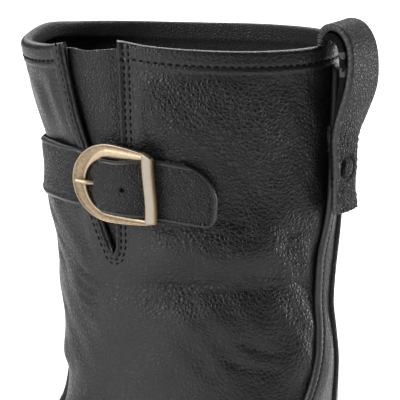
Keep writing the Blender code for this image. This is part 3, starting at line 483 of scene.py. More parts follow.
def section_values(section):
    """The section table's columns at any point between its rows, on a smooth curve through them."""
    section = np.asarray(section, float)
    last = len(COLUMNS) - 1
    i = np.clip(np.floor(section).astype(int), 0, last - 1)
    t = (section - i)[..., None]
    before, here = COLUMNS[np.maximum(i - 1, 0)], COLUMNS[i]
    there, after = COLUMNS[i + 1], COLUMNS[np.minimum(i + 2, last)]
    leave, arrive = (there - before) / 2, (after - here) / 2
    value = (
        (2 * t**3 - 3 * t**2 + 1) * here
        + (t**3 - 2 * t**2 + t) * leave
        + (3 * t**2 - 2 * t**3) * there
        + (t**3 - t**2) * arrive
    )
    return Section(*np.moveaxis(value, -1, 0))


def rim_lift(angle):
    """How far the collar's edge stands over its plane, by angle."""
    return table_curve(RIM, np.degrees(angle) % 360.0)


def last_point(section, angle):
    """A point of the upper's outer surface, as (u, outward, height) in millimetres."""
    row = section_values(section)
    angle = np.asarray(angle, float)
    cosine, sine = np.cos(angle), np.sin(angle)
    front = cosine >= 0
    power = np.where(front, row.n_front, row.n_back)
    radius = (np.abs(cosine) ** power + np.abs(sine) ** power) ** (-1 / power)
    along = row.widest + np.where(front, 1 - row.widest, row.widest) * cosine * radius
    waist = np.where(sine >= 0, row.waist_outer, row.waist_inner)
    narrowing = 1 - waist * bell(along - WAIST_AT, WAIST_SPREAD)
    sideways = row.half_width * narrowing * sine * radius
    sideways = sideways - row.swing * smoothstep((along - SWING_FROM) / (1 - SWING_FROM))
    u = row.u_back + (row.u_front - row.u_back) * along
    plane = row.z_back + (row.z_front - row.z_back) * along
    height = row.follow * (feather(u) + row.rise) + (1 - row.follow) * plane
    height = height + rim_lift(angle) * smoothstep((height - COLLAR_HEIGHT) / RIM_DEPTH + 1)
    return np.stack(np.broadcast_arrays(u, sideways, height), axis=-1)


def to_world(points):
    """(u, outward, height) in millimetres to world metres."""
    points = np.asarray(points, float)
    world = [HEEL_LINE_X - points[..., 0], -points[..., 1], points[..., 2]]
    return np.stack(world, axis=-1) * MM


def outward_normal(section, angle):
    """Unit normal of the upper's outer surface, in world axes."""
    step = 0.01
    section = np.clip(section, step, COLLAR - step)
    round_it = to_world(last_point(section, angle + step)) - to_world(last_point(section, angle - step))
    up_it = to_world(last_point(section + step, angle)) - to_world(last_point(section - step, angle))
    return unit(np.cross(round_it, up_it))


def on_upper(section, angle, offset):
    """World point over (positive) or under (negative) the upper's outer surface by an offset in mm."""
    section, angle, offset = np.broadcast_arrays(section, np.asarray(angle, float), offset)
    return to_world(last_point(section, angle)) + outward_normal(section, angle) * offset[..., None] * MM


def shaft_section(height):
    """The section at a height of the shaft, in millimetres."""
    rows = np.linspace(FIRST_SHAFT_SECTION, COLLAR, 400)
    return np.interp(height, section_values(rows).z_back, rows)


def sole_outline(angle, outset):
    """The feather edge in plan, moved out by outset: (u, outward) in millimetres."""
    step = 0.01
    here = last_point(0.0, angle)[..., :2]
    round_it = last_point(0.0, angle + step)[..., :2] - last_point(0.0, angle - step)[..., :2]
    out = np.stack([round_it[..., 1], -round_it[..., 0]], axis=-1)
    return here + unit(out) * outset


# Relief of the leather

def rounded(distance, radius):
    """How far a surface falls away at a turned edge, by distance from that edge."""
    near = np.clip(1 - distance / np.maximum(radius, 1e-6), 0.0, 1.0)
    return radius * (1 - np.sqrt(1 - near**2))


def groove(distance, depth=SEAM_GROOVE_DEPTH, width=SEAM_GROOVE_WIDTH):
    """A seam's trough, by distance from its line."""
    return -depth * bell(distance, width)


def slit_edges(height):
    """Angles of the slit's front and back edge at a height."""
    height = np.maximum(height, SLIT_FOOT_HEIGHT)
    return np.radians(table_curve(SLIT, height, 1)), np.radians(table_curve(SLIT, height, 2))


def slit_distance(angle, height):
    """Distance from the slit's edge, round its foot as well, in millimetres."""
    front, back = slit_edges(height)
    middle = (front + back) / 2
    turn = (np.degrees(angle - middle) + 180.0) % 360.0 - 180.0
    side = np.maximum(np.abs(turn) - np.degrees(back - front) / 2, 0.0) * GIRTH_PER_DEGREE
    below = np.maximum(SLIT_FOOT_HEIGHT - height, 0.0)
    return np.hypot(side, below), turn > 0


def crease_relief(angle, height):
    """The sum of the creases at points of the shaft."""
    girth = np.degrees(angle) % 360.0 * GIRTH_PER_DEGREE
    total = np.zeros(np.shape(girth))
    for crease in CREASES:
        start = np.array([crease.from_deg * GIRTH_PER_DEGREE, crease.from_z])
        end = np.array([crease.to_deg * GIRTH_PER_DEGREE, crease.to_z])
        run = end - start
        length = np.linalg.norm(run)
        share = ((girth - start[0]) * run[0] + (height - start[1]) * run[1]) / length**2
        off = ((girth - start[0]) * -run[1] + (height - start[1]) * run[0]) / length
        off = off - crease.hang * 4 * share * (1 - share)
        ends = smoothstep(share / CREASE_FADE) * smoothstep((1 - share) / CREASE_FADE)
        total += crease.height * ends * bell(off, crease.width)
    return total


def spots(rows, angle, height):
    """The sum of soft round spots at points of the shaft: place, spread round and up, and size."""
    degrees = np.degrees(angle) % 360.0
    total = np.zeros(np.shape(degrees))
    for angle_deg, z, girth, rise, size in rows:
        round_it = (degrees - angle_deg) * GIRTH_PER_DEGREE / girth
        up_it = (height - z) / rise
        total += size * np.exp(-(round_it**2) - up_it**2)
    return total


def ripple(angle, height):
    """Slight unevenness of the hide, from a few slow waves round and up the shaft."""
    return sum(
        wave.height * np.sin(wave.turns * angle + wave.climb * height + wave.start)
        for wave in HIDE_WAVES
    )


def collar_relief(below_rim):
    """The folded hem at the collar: a flat band that ends in a step, and the seam's groove."""
    foot = COLLAR_FACING_DEPTH + COLLAR_BAND_STEP / 2
    band = COLLAR_BAND_HEIGHT * smoothstep((foot - below_rim) / COLLAR_BAND_STEP)
    return band + groove(below_rim - COLLAR_SEAM_DEPTH)


def slit_relief(distance, behind, height):
    """The folded edge of the slit: two seams behind it and round its foot, and one higher up before it."""
    band = SLIT_BAND_HEIGHT * smoothstep((SLIT_BAND - distance) / SLIT_BAND_STEP)
    bead = SLIT_BEAD_HEIGHT * bell(distance - SLIT_BEAD_AT, SLIT_BEAD_WIDTH)
    inner, outer = (
        groove(distance - seam, depth, SLIT_GROOVE_WIDTH)
        for seam, depth in zip(SLIT_SEAMS, SLIT_GROOVE_DEPTHS)
    )
    return band + bead + inner + np.where(behind | (height < SECOND_SEAM_TOP), outer, 0.0)


def lip_share(angle):
    """How much the collar's edge is a thick rolled lip: 1 at the front, 0 from the slit to the back."""
    turn = (np.degrees(angle) + 180.0) % 360.0 - 180.0
    return smoothstep((LIP_REACH_DEG - np.abs(turn)) / LIP_FADE_DEG)


def shaft_relief(angle, height):
    """Everything that stands over or under the plain last on the shaft, and how coarse the grain is."""
    below_rim = COLLAR_HEIGHT + rim_lift(angle) - height
    near_slit, behind = slit_distance(angle, height)
    free = smoothstep((near_slit - FREE_OF_SLIT) / FREE_RUN)
    free = free * smoothstep((below_rim - FREE_OF_RIM) / FREE_RUN)
    on_shaft = smoothstep((height - CREASED_FROM) / CREASED_RUN)
    creases = crease_relief(angle, height)
    relief = (creases + spots(SWELLS, angle, height) + ripple(angle, height)) * free * on_shaft
    grip = (height - table_curve(STRAP_COURSE, 0.0)) / STRAP_GRIP_REACH
    relief = relief - STRAP_GRIP_DEPTH * np.exp(-(grip**4)) * free
    relief = relief + collar_relief(below_rim) * smoothstep(near_slit / COLLAR_BAND_STOP)
    relief = relief + slit_relief(near_slit, behind, height)
    coarse = spots(PEBBLY, angle, height) * free + CREASE_GRAIN * np.clip(np.abs(creases), 0.0, 1.0)
    return relief, SMOOTH_GRAIN + coarse


# Mesh helpers

MERGED_WITHIN = 1e-6  # metres
SLIVER = 1e-7  # metres
# A rod's domed end: how far out and how wide, as shares of its radius
ROD_DOME = np.array([(0.50, 0.30), (0.38, 0.68), (0.20, 0.90)])


def placed(name, data):
    """A new object in the scene, at the origin."""
    thing = bpy.data.objects.new(name, data)
    bpy.context.scene.collection.objects.link(thing)
    return thing


def as_object(name, verts, faces, materials, grain=None, finish_of_face=None):
    """A mesh object at the origin with smooth shading, its finishes and how coarse its grain is."""
    mesh = bpy.data.meshes.new(name)
    mesh.from_pydata([tuple(v) for v in verts], [], faces)
    for material in materials:
        mesh.materials.append(material)
    if finish_of_face is not None:
        mesh.polygons.foreach_set("material_index", finish_of_face)
    if grain is not None:
        mesh.attributes.new("grain", "FLOAT", "POINT").data.foreach_set("value", np.ravel(grain))
    built = bmesh.new()
    built.from_mesh(mesh)
    bmesh.ops.remove_doubles(built, verts=built.verts, dist=MERGED_WITHIN)
    bmesh.ops.dissolve_degenerate(built, dist=SLIVER, edges=built.edges)
    built.to_mesh(mesh)
    built.free()
    mesh.shade_smooth()
    return placed(name, mesh)


def quad_faces(index, flip=False, wrap=False):
    """Faces of a grid of vertex numbers."""
    if wrap:
        index = np.concatenate([index, index[:, :1]], axis=1)
    corners = [index[:-1, :-1], index[:-1, 1:], index[1:, 1:], index[1:, :-1]]
    faces = np.stack(corners[::-1] if flip else corners, axis=-1).reshape(-1, 4)
    return faces.tolist()


def strip_faces(first, second):
    """Faces between two lines of vertex numbers."""
    return np.stack([first[:-1], first[1:], second[1:], second[:-1]], axis=-1).tolist()


def shell(name, outer, inner, material, edge_material=None, on_edge=None):
    """A closed shell between an outer and an inner grid of points; the outer one looks outwards."""
    rows, columns = outer.shape[:2]
    count = rows * columns
    out = np.arange(count).reshape(rows, columns)
    inside = out + count
    faces = quad_faces(out) + quad_faces(inside, flip=True)
    faces += strip_faces(inside[0], out[0]) + strip_faces(out[-1], inside[-1])
    faces += strip_faces(out[:, 0], inside[:, 0]) + strip_faces(inside[:, -1], out[:, -1])
    verts = np.concatenate([outer.reshape(-1, 3), inner.reshape(-1, 3)])
    if on_edge is None:
        return as_object(name, verts, faces, [material])
    finish = np.zeros(len(faces), int)
    finish[: on_edge.size] = on_edge.ravel()
    return as_object(name, verts, faces, [material, edge_material], finish_of_face=finish.tolist())


def loft(name, rings, material, ends="caps", grain=None):
    """A closed body through rings of points: with flat caps, drawn together, or joined end to end."""
    rows, columns = rings.shape[:2]
    index = np.arange(rows * columns).reshape(rows, columns)
    if ends == "joined":
        index = np.concatenate([index, index[:1]])
    faces = quad_faces(index, wrap=True)
    if ends == "caps":
        faces += [index[0, ::-1].tolist(), index[-1].tolist()]
    return as_object(name, rings.reshape(-1, 3), faces, [material], grain)


def outward(thing):
    """Turns a closed body's faces outwards."""
    built = bmesh.new()
    built.from_mesh(thing.data)
    bmesh.ops.recalc_face_normals(built, faces=built.faces)
    built.to_mesh(thing.data)
    built.free()
    return thing


def rod(name, path, radius, reference, material, sides=12):
    """A round rod with domed ends along world points."""
    path = np.asarray(path, float)
    tangent = unit(np.gradient(path, axis=0))
    dome = ROD_DOME * radius * MM
    path = np.concatenate([path[0] - tangent[0] * dome[:, :1], path, path[-1] + tangent[-1] * dome[::-1, :1]])
    tangent = np.concatenate([tangent[:1]] * len(dome) + [tangent] + [tangent[-1:]] * len(dome))
    wide = np.full(len(path), radius * MM)
    wide[: len(dome)] = dome[:, 1]
    wide[-len(dome) :] = dome[::-1, 1]
    side = unit(np.cross(tangent, np.asarray(reference, float)))
    up = np.cross(side, tangent)
    turn = np.linspace(0.0, 2 * math.pi, sides, endpoint=False)
    ring = np.cos(turn)[None, :, None] * side[:, None] + np.sin(turn)[None, :, None] * up[:, None]
    return outward(loft(name, path[:, None] + ring * wide[:, None, None], material))


def crowd(count, ends):
    """Shares from 0 to 1 that draw together towards both ends."""
    t = np.linspace(0.0, 1.0, count)
    return t - ends * np.sin(2 * math.pi * t) / (2 * math.pi)


def dress(thing, slot, *nodes):
    """The piece rides on the boot and stands for its solids, which are hidden; the slot is not used."""
    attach(thing, "root")
    if nodes:
        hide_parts(*nodes)
    return thing


# Finishes

# Leather, in parts of a pebble
PARTING_DULLNESS = 0.35  # how much rougher it is between its pebbles
PARTING_PAINTED_SHADE = 0.4  # painted shade: its colour there, as a share, darkened for the shade between the pebbles
PARTING_WIDTH = 0.3
WANDER_SCALE = 0.28  # how slowly the rows of pebbles wander
WANDER = 2.2
PEBBLE_SOFTNESS = 0.4
PEBBLE_TOP = 0.6  # height of a pebble's flat top over its dome
PORE_SCALE = 2.6
PORE_HEIGHT = 0.3
FLAT_GLOSS = 0.8  # gloss where the hide has no pebbles

# Brass
BRUSH_LINES = 2600.0
TARNISH_PATCHES = 900.0
TARNISH_CONTRAST = 1.6
TARNISH_DULLNESS = 0.14  # how much rougher it is where it is dull
BRASS_RELIEF = 0.06
BRASS_BUMP = 0.5

# Matt finishes
LAYER_BANDS = 3.2  # bands in one unit of a wave texture
LAYER_WANDER = 0.6
MATT_BUMP = 0.8
PALE_GAIN = 1.8  # how much paler the high specks are
PALE_LIFT = 0.004
PALE_FROM = 0.35
PALE_TO = 0.75

# A colour mix's sockets, which share their names with those of other kinds
MIX_FIRST, MIX_SECOND, MIX_RESULT = 6, 7, 2


def shader_of(name, colour, roughness, metallic=0.0, specular=0.5):
    material = bpy.data.materials.new(name)
    material.use_nodes = True
    shader = material.node_tree.nodes["Principled BSDF"]
    shader.inputs["Base Color"].default_value = (*colour, 1.0)
    shader.inputs["Roughness"].default_value = roughness
    shader.inputs["Metallic"].default_value = metallic
    shader.inputs["Specular IOR Level"].default_value = specular
    return material, shader


def add(tree, kind, **values):
    """A node with its properties and plain inputs set."""
    node = tree.nodes.new(kind)
    for key, value in values.items():
        if key in node.bl_rna.properties and key not in node.inputs:
            setattr(node, key, value)
        else:
            node.inputs[key].default_value = value
    return node


def math_node(tree, operation, first, second):
    node = add(tree, "ShaderNodeMath", operation=operation)
    for socket, value in zip(node.inputs, (first, second)):
        if isinstance(value, bpy.types.NodeSocket):
            tree.links.new(value, socket)
        else:
            socket.default_value = value
    return node.outputs[0]


def ramp(tree, factor, low, high, dark, light):
    """A two-colour ramp over a range of a value."""
    node = add(tree, "ShaderNodeMapRange", **{"From Min": low, "From Max": high})
    tree.links.new(factor, node.inputs["Value"])
    mix = add(tree, "ShaderNodeMix", data_type="RGBA")
    mix.inputs[MIX_FIRST].default_value = (*dark, 1.0)
    mix.inputs[MIX_SECOND].default_value = (*light, 1.0)
    tree.links.new(node.outputs["Result"], mix.inputs["Factor"])
    return mix.outputs[MIX_RESULT]


def patterned(name, colour, roughness, **shine):
    """A finish whose pattern lies on Object coordinates: its material, shader, nodes and place."""
    material, shader = shader_of(name, colour, roughness, **shine)
    tree = material.node_tree
    return material, shader, tree, add(tree, "ShaderNodeTexCoord").outputs["Object"]


def noise(tree, place, scale, detail, roughness=0.5):
    node = add(tree, "ShaderNodeTexNoise", Scale=scale, Detail=detail, Roughness=roughness)
    tree.links.new(place, node.inputs["Vector"])
    return node


def emboss(tree, shader, height, strength, relief_mm):
    """A height pattern shows as fine relief."""
    bump = add(tree, "ShaderNodeBump", Strength=strength, Distance=relief_mm * MM)
    tree.links.new(height, bump.inputs["Height"])
    tree.links.new(bump.outputs["Normal"], shader.inputs["Normal"])


def leather(name, colour, roughness, pebble_mm, relief_mm, marked=True, specular=0.5):
    """Grained leather: glossy pebbles parted by dull fine creases, which are darker in colour as painted
    shade, with pores on them.

    A marked piece says itself how coarse its grain is at each point.
    """
    material, shader, tree, place = patterned(name, colour, roughness, specular=specular)
    density = 1.0 / (pebble_mm * MM)
    wander = noise(tree, place, WANDER_SCALE * density, 2.0)
    shift = add(tree, "ShaderNodeVectorMath", operation="SCALE")
    tree.links.new(wander.outputs["Color"], shift.inputs[0])
    shift.inputs["Scale"].default_value = WANDER * pebble_mm * MM
    moved = add(tree, "ShaderNodeVectorMath", operation="ADD")
    tree.links.new(place, moved.inputs[0])
    tree.links.new(shift.outputs[0], moved.inputs[1])
    pebble = add(tree, "ShaderNodeTexVoronoi", feature="SMOOTH_F1", Scale=density)
    pebble.inputs["Smoothness"].default_value = PEBBLE_SOFTNESS
    parting = add(tree, "ShaderNodeTexVoronoi", feature="DISTANCE_TO_EDGE", Scale=density)
    for cells in (pebble, parting):
        tree.links.new(moved.outputs[0], cells.inputs["Vector"])
    top = add(tree, "ShaderNodeMapRange", interpolation_type="SMOOTHSTEP")
    top.inputs["From Max"].default_value = PARTING_WIDTH
    tree.links.new(parting.outputs["Distance"], top.inputs["Value"])
    pore = noise(tree, place, PORE_SCALE * density, 3.0, 0.6)
    dome = math_node(tree, "SUBTRACT", 1.0, pebble.outputs["Distance"])
    pores = math_node(tree, "MULTIPLY", pore.outputs["Fac"], PORE_HEIGHT)
    tops = math_node(tree, "MULTIPLY", top.outputs["Result"], PEBBLE_TOP)
    height = math_node(tree, "ADD", math_node(tree, "ADD", dome, pores), tops)
    gloss = top.outputs["Result"]
    if marked:
        mark = add(tree, "ShaderNodeAttribute", attribute_name="grain")
        height = math_node(tree, "MULTIPLY", height, mark.outputs["Fac"])
        flat = math_node(tree, "SUBTRACT", 1.0, math_node(tree, "MINIMUM", mark.outputs["Fac"], 1.0))
        gloss = math_node(tree, "MAXIMUM", gloss, math_node(tree, "MULTIPLY", flat, FLAT_GLOSS))
    emboss(tree, shader, height, 1.0, relief_mm)
    dull = add(tree, "ShaderNodeMapRange", **{"To Min": roughness + PARTING_DULLNESS, "To Max": roughness})
    tree.links.new(gloss, dull.inputs["Value"])
    tree.links.new(dull.outputs["Result"], shader.inputs["Roughness"])
    # painted shade: the partings between the pebbles take a darker colour for the shade that falls in them
    dark = tuple(PARTING_PAINTED_SHADE * c for c in colour)
    tree.links.new(ramp(tree, gloss, 0.0, 1.0, dark, colour), shader.inputs["Base Color"])
    return material


def worn_brass(name, colour, dull, roughness, brushed):
    """Aged brass: dull in its recess and in patches, with fine brushing and tiny pits."""
    material, shader, tree, place = patterned(name, colour, roughness, metallic=1.0)
    stretch = add(tree, "ShaderNodeMapping")
    stretch.inputs["Scale"].default_value = (1.0, 1.0, brushed)
    tree.links.new(place, stretch.inputs["Vector"])
    lines = noise(tree, stretch.outputs["Vector"], BRUSH_LINES, 2.0)
    patch = noise(tree, place, TARNISH_PATCHES, 4.0, 0.65)
    recess = add(tree, "ShaderNodeAttribute", attribute_name="grain")
    centred = math_node(tree, "SUBTRACT", patch.outputs["Fac"], 0.5)
    uneven = math_node(tree, "MULTIPLY", centred, TARNISH_CONTRAST)
    age = math_node(tree, "ADD", recess.outputs["Fac"], uneven)
    tree.links.new(ramp(tree, age, 0.0, 1.0, colour, dull), shader.inputs["Base Color"])
    rough = add(tree, "ShaderNodeMapRange")
    rough.inputs["To Min"].default_value = roughness
    rough.inputs["To Max"].default_value = roughness + TARNISH_DULLNESS
    tree.links.new(age, rough.inputs["Value"])
    tree.links.new(rough.outputs["Result"], shader.inputs["Roughness"])
    height = math_node(tree, "ADD", lines.outputs["Fac"], patch.outputs["Fac"])
    emboss(tree, shader, height, BRASS_BUMP, BRASS_RELIEF)
    return material


def matt(name, colour, roughness, scale, relief_mm, specular=0.5, bands_mm=0.0):
    """Rubber, thread or a dyed edge: a fine uneven surface, with layers where bands are given."""
    material, shader, tree, place = patterned(name, colour, roughness, specular=specular)
    fine = noise(tree, place, scale, 4.0, 0.6)
    height = fine.outputs["Fac"]
    if bands_mm:
        layers = add(tree, "ShaderNodeTexWave", bands_direction="Z", Distortion=LAYER_WANDER)
        layers.inputs["Scale"].default_value = 1.0 / (bands_mm * MM) / LAYER_BANDS
        tree.links.new(place, layers.inputs["Vector"])
        height = math_node(tree, "ADD", height, layers.outputs["Fac"])
    emboss(tree, shader, height, MATT_BUMP, relief_mm)
    pale = tuple(PALE_GAIN * c + PALE_LIFT for c in colour)
    speckled_colour = ramp(tree, fine.outputs["Fac"], PALE_FROM, PALE_TO, colour, pale)
    tree.links.new(speckled_colour, shader.inputs["Base Color"])
    return material


SHAFT_LEATHER = leather("shaft_leather", (0.0072, 0.0072, 0.0076), 0.30, 1.6, 0.28)
PANEL_LEATHER = leather("panel_leather", (0.0100, 0.0100, 0.0105), 0.32, 1.2, 0.18, marked=False)
# painted light: the back stay's black leather is made paler, standing in for the light that falls on it
STAY_LEATHER_PAINTED_LIGHT = leather("stay_leather_painted_lighter", (0.016, 0.016, 0.0165), 0.36, 0.9, 0.05, marked=False, specular=1.0)
STRAP_LEATHER = leather("strap_leather", (0.0070, 0.0070, 0.0074), 0.34, 1.1, 0.25, marked=False)
LOOP_LEATHER = leather("loop_leather", (0.0080, 0.0080, 0.0085), 0.42, 1.3, 0.28, specular=0.17)
LINING = leather("lining_leather", (0.0220, 0.0205, 0.0200), 0.62, 0.8, 0.12, marked=False)
FACING = leather("facing_leather", (0.0090, 0.0088, 0.0086), 0.42, 0.9, 0.14, marked=False)
RAW_EDGE = matt("raw_edge", (0.026, 0.026, 0.026), 0.42, 700.0, 0.3)
# painted highlight: a paler edge colour for the light that the strap's rounded edges catch
EDGE_PAINTED_HIGHLIGHT = matt("edge_painted_highlight", (0.028, 0.028, 0.028), 0.36, 900.0, 0.12)
TORN_EDGE = matt("torn_edge", (0.060, 0.060, 0.058), 0.35, 1100.0, 0.9)
THREAD = matt("black_thread", (0.003, 0.003, 0.003), 0.8, 3000.0, 0.05, specular=0.15)
WELT_LEATHER = matt("welt_leather", (0.011, 0.011, 0.011), 0.5, 700.0, 0.12)
HEEL_STACK = matt("heel_stack", (0.012, 0.011, 0.011), 0.42, 500.0, 0.25, bands_mm=4.2)
RUBBER = matt("sole_rubber", (0.012, 0.012, 0.012), 0.62, 1500.0, 0.10)
BRASS = worn_brass("aged_brass", (0.51, 0.40, 0.285), (0.28, 0.213, 0.135), 0.44, 1.0)
BRUSHED_BRASS = worn_brass("brushed_brass", (0.38, 0.352, 0.305), (0.46, 0.33, 0.17), 0.46, 0.06)


# The upper

# Rows of its grid: sections of the foot and the ankle, heights of the shaft, depths under the rim
FOOT_SECTIONS = np.linspace(0.0, 9.0, 62)
ANKLE_SECTIONS = np.linspace(9.1, 9.95, 9)
SHAFT_HEIGHTS = np.linspace(137.0, COLLAR_HEIGHT - 10.0, 96)
HEM_DEPTHS = np.array([9.5, 9.0, 8.5, 8.0, 7.4, 6.9, 6.5, 6.2, 5.9, 5.5, 5.0, 4.2, 3.4])
RIM_DEPTHS = np.array([2.6, 1.9, 1.4, 1.0, 0.7, 0.45, 0.25, 0.1, 0.0])
UPPER_COLUMNS = 320
UPPER_CROWDING = 0.55
# The section over which the shaft's relief begins
RELIEF_FROM_SECTION = 8.5
RELIEF_RUN = 1.2


def upper_sections():
    """Sections of the upper's rows, close together at the rim."""
    shaft = shaft_section(SHAFT_HEIGHTS)
    hem = shaft_section(COLLAR_HEIGHT - HEM_DEPTHS)
    rim = shaft_section(COLLAR_HEIGHT - RIM_DEPTHS)
    return np.concatenate([FOOT_SECTIONS, ANKLE_SECTIONS, shaft, hem, rim])


def upper_grid(sections, columns):
    """Angles and heights of the upper's grid, which runs from the slit's back edge round to its front."""
    share = crowd(columns, UPPER_CROWDING)[None, :]
    section = np.broadcast_to(sections[:, None], (len(sections), columns))
    start_front, start_back = slit_edges(section_values(sections).z_back)
    start_back, start_front = start_back[:, None], start_front[:, None]
    angle = start_back + share * (2 * math.pi - (start_back - start_front))
    return section, angle


def upper():
    """The shaft and foot in one wall, with its relief, round edges and inner facing."""
    sections = upper_sections()
    section, angle = upper_grid(sections, UPPER_COLUMNS)
    height = last_point(section, angle)[..., 2]
    relief, grain = shaft_relief(angle, height)
    relief = relief * smoothstep((section - RELIEF_FROM_SECTION) / RELIEF_RUN)
    below_rim = COLLAR_HEIGHT + rim_lift(angle) - height
    near_slit, _ = slit_distance(angle, height)
    open_slit = smoothstep((height - SLIT_FOOT_HEIGHT) / SLIT_ROUND_RUN)
    lip = EDGE_ROUND + LIP_ROUND * lip_share(angle)
    turned = np.maximum(rounded(below_rim, lip), rounded(near_slit, SLIT_ROUND * open_slit))
    outer = on_upper(section, angle, relief - turned)
    inside = np.minimum(relief, 0.0) + turned - UPPER_WALL
    over_edge = FACING_DEPTH - below_rim
    facing = (FACING_STEP + 2 * LIP_ROUND * lip_share(angle)) * smoothstep(over_edge / FACING_EDGE)
    facing = facing + FACING_RIDGE * bell(over_edge, FACING_EDGE)
    inner = on_upper(section, angle, inside - facing)
    outer, inner = with_margin(outer, angle[0], 0.0), with_margin(inner, angle[0], UPPER_WALL)
    grain = np.concatenate([np.ones((2, grain.shape[1])), grain])
    return upper_shell(outer, inner, grain, sections)


def with_margin(grid, angle, rise):
    """Two rows before a grid: the lasting margin that turns in under the foot."""
    rows = []
    for inset in (LASTING_MARGIN, LASTING_TURN):
        plan = sole_outline(angle, -inset)
        level = feather(plan[:, 0]) + LASTING_RISE + rise
        rows.append(to_world(np.column_stack([plan, level])))
    return np.concatenate([np.stack(rows), grid])


def upper_shell(outer, inner, grain, sections):
    """The wall of the upper: a fine outside, a coarser inside, joined at the rim and along the slit."""
    rows, columns = outer.shape[:2]
    out = np.arange(rows * columns).reshape(rows, columns)
    keep_rows = np.unique(np.append(np.arange(0, rows, 2), rows - 1))
    keep_columns = np.unique(np.append(np.arange(0, columns, 2), columns - 1))
    coarse = inner[np.ix_(keep_rows, keep_columns)]
    inside = np.arange(coarse.shape[0] * coarse.shape[1]).reshape(coarse.shape[:2]) + rows * columns
    heights = np.append([0.0, 0.0], section_values(sections).z_back)
    faces = quad_faces(out)
    finish = [0] * len(faces)
    faces += quad_faces(inside, flip=True)
    faced = heights[keep_rows[:-1]] > COLLAR_HEIGHT - FACING_DEPTH
    finish += np.repeat(1 + faced.astype(int), coarse.shape[1] - 1).tolist()
    edges = []
    for k, (a, b) in enumerate(zip(keep_columns[:-1], keep_columns[1:])):
        edges.append([*out[-1, a : b + 1], inside[-1, k + 1], inside[-1, k]])
        edges.append([inside[0, k], inside[0, k + 1], *out[0, a : b + 1][::-1]])
    for k, (a, b) in enumerate(zip(keep_rows[:-1], keep_rows[1:])):
        if heights[b] < SLIT_FOOT_HEIGHT:
            continue
        edges.append([*out[a : b + 1, 0][::-1], inside[k, 0], inside[k + 1, 0]])
        edges.append([*out[a : b + 1, -1], inside[k + 1, -1], inside[k, -1]])
    faces += [[int(v) for v in face] for face in edges]
    finish += [0] * len(edges)
    verts = np.concatenate([outer.reshape(-1, 3), coarse.reshape(-1, 3)])
    marks = np.concatenate([np.ravel(grain), np.full(coarse.shape[0] * coarse.shape[1], INNER_GRAIN)])
    return as_object("shaft_and_foot", verts, faces, [SHAFT_LEATHER, LINING, FACING], marks, finish)


# Panels on the upper

PANEL_GAP = 0.15
PANEL_LEAST = 0.1  # least thickness where a panel turns in at the sole
PANEL_GROOVE_DEPTH = 0.25
COUNTER_COLUMNS = 91
COUNTER_TURN = 1.2
COUNTER_EDGE_DROP = 1.3
COUNTER_RIDGE_AT = 1.7
COUNTER_RIDGE_HEIGHT = 0.16
COUNTER_RIDGE_WIDTH = 0.4
COUNTER_SEAM_AT = 2.5
COUNTER_GROOVE_WIDTH = 0.4
COUNTER_THIN = 0.3  # how much thinner the edge is on the shaft
COUNTER_RISE = 1.3
COUNTER_RISE_RUN = 4.0
# Sections between which the back stay is narrow, and how soon it becomes so
NARROW_FROM = 8.0
NARROW_FROM_RUN = 2.0
NARROW_TO = 14.2
NARROW_TO_RUN = 1.2
VAMP_COLUMNS = 131
VAMP_EDGE_DROP = 2.0
VAMP_SEAMS = (2.6, 5.0)
SEAM_COLUMNS = 121
PIPING_FOOT_SECTION = 0.2
PIPING_UNDER_LOOP = 2.0  # how far the rib reaches up under the pull loop
PANEL_FOOT = [(-1.3, 0.0), (-0.5, 0.6), (-0.1, 1.6)]  # outset and level of the rows that turn in at the sole


def row_distance(section, angle):
    """Distance along each row of a panel from its nearer side edge."""
    base = on_upper(section, angle, 0.0)
    steps = np.linalg.norm(np.diff(base, axis=1), axis=2) / MM
    run = np.concatenate([np.zeros((len(base), 1)), np.cumsum(steps, axis=1)], axis=1)
    return np.minimum(run, run[:, -1:] - run)


def panel_grid(sections, middle, edges, columns):
    """Sections and angles of a panel between its two edges, with columns close together at both."""
    half = np.radians(table_curve(edges, sections))[:, None]
    share = -np.cos(np.linspace(0.0, math.pi, columns))[None, :]
    angle = middle + half * share
    return np.broadcast_to(sections[:, None], angle.shape), angle


def counter_profile(distance, section):
    """The back stay over the upper: a round edge, a ridge, the seam's groove and the slope to the rib."""
    ridge = COUNTER_RIDGE_HEIGHT * bell(distance - COUNTER_RIDGE_AT, COUNTER_RIDGE_WIDTH)
    seam = groove(distance - COUNTER_SEAM_AT, PANEL_GROOVE_DEPTH, COUNTER_GROOVE_WIDTH)
    narrow = smoothstep((section - NARROW_FROM) / NARROW_FROM_RUN)
    narrow = narrow * smoothstep((NARROW_TO - section) / NARROW_TO_RUN)
    slope = COUNTER_RISE * np.clip((distance - COUNTER_SEAM_AT) / COUNTER_RISE_RUN, 0.0, 1.0) - COUNTER_THIN
    edge = rounded(distance, COUNTER_TURN) * COUNTER_EDGE_DROP
    return COUNTER_HEIGHT + ridge + seam + slope * narrow - edge


def vamp_profile(distance, _):
    """The vamp over the upper: a round edge and two seams' grooves."""
    seams = sum(groove(distance - seam, PANEL_GROOVE_DEPTH) for seam in VAMP_SEAMS)
    return VAMP_HEIGHT + seams - rounded(distance, SOFT_ROUND) * VAMP_EDGE_DROP


def panel(name, sections, middle, edges, columns, profile, material):
    """A panel on the upper, turned in at the sole."""
    section, angle = panel_grid(sections, middle, edges, columns)
    height = last_point(section, angle)[..., 2]
    near = np.minimum(row_distance(section, angle), height[-1] - height)
    over = profile(near, section)
    outer, inner = on_upper(section, angle, over), on_upper(section, angle, PANEL_GAP)
    foot_outer, foot_inner = [], []
    for outset, level in PANEL_FOOT:
        out = np.maximum(over[0] + outset, PANEL_GAP + PANEL_LEAST)
        plan = sole_outline(angle[0], out[:, None])
        foot_outer.append(to_world(np.column_stack([plan, feather(plan[:, 0]) + level])))
        plan = sole_outline(angle[0], PANEL_GAP)
        foot_inner.append(to_world(np.column_stack([plan, feather(plan[:, 0]) + level])))
    outer = np.concatenate([np.stack(foot_outer), outer])
    inner = np.concatenate([np.stack(foot_inner), inner])
    return shell(name, outer, inner, material)


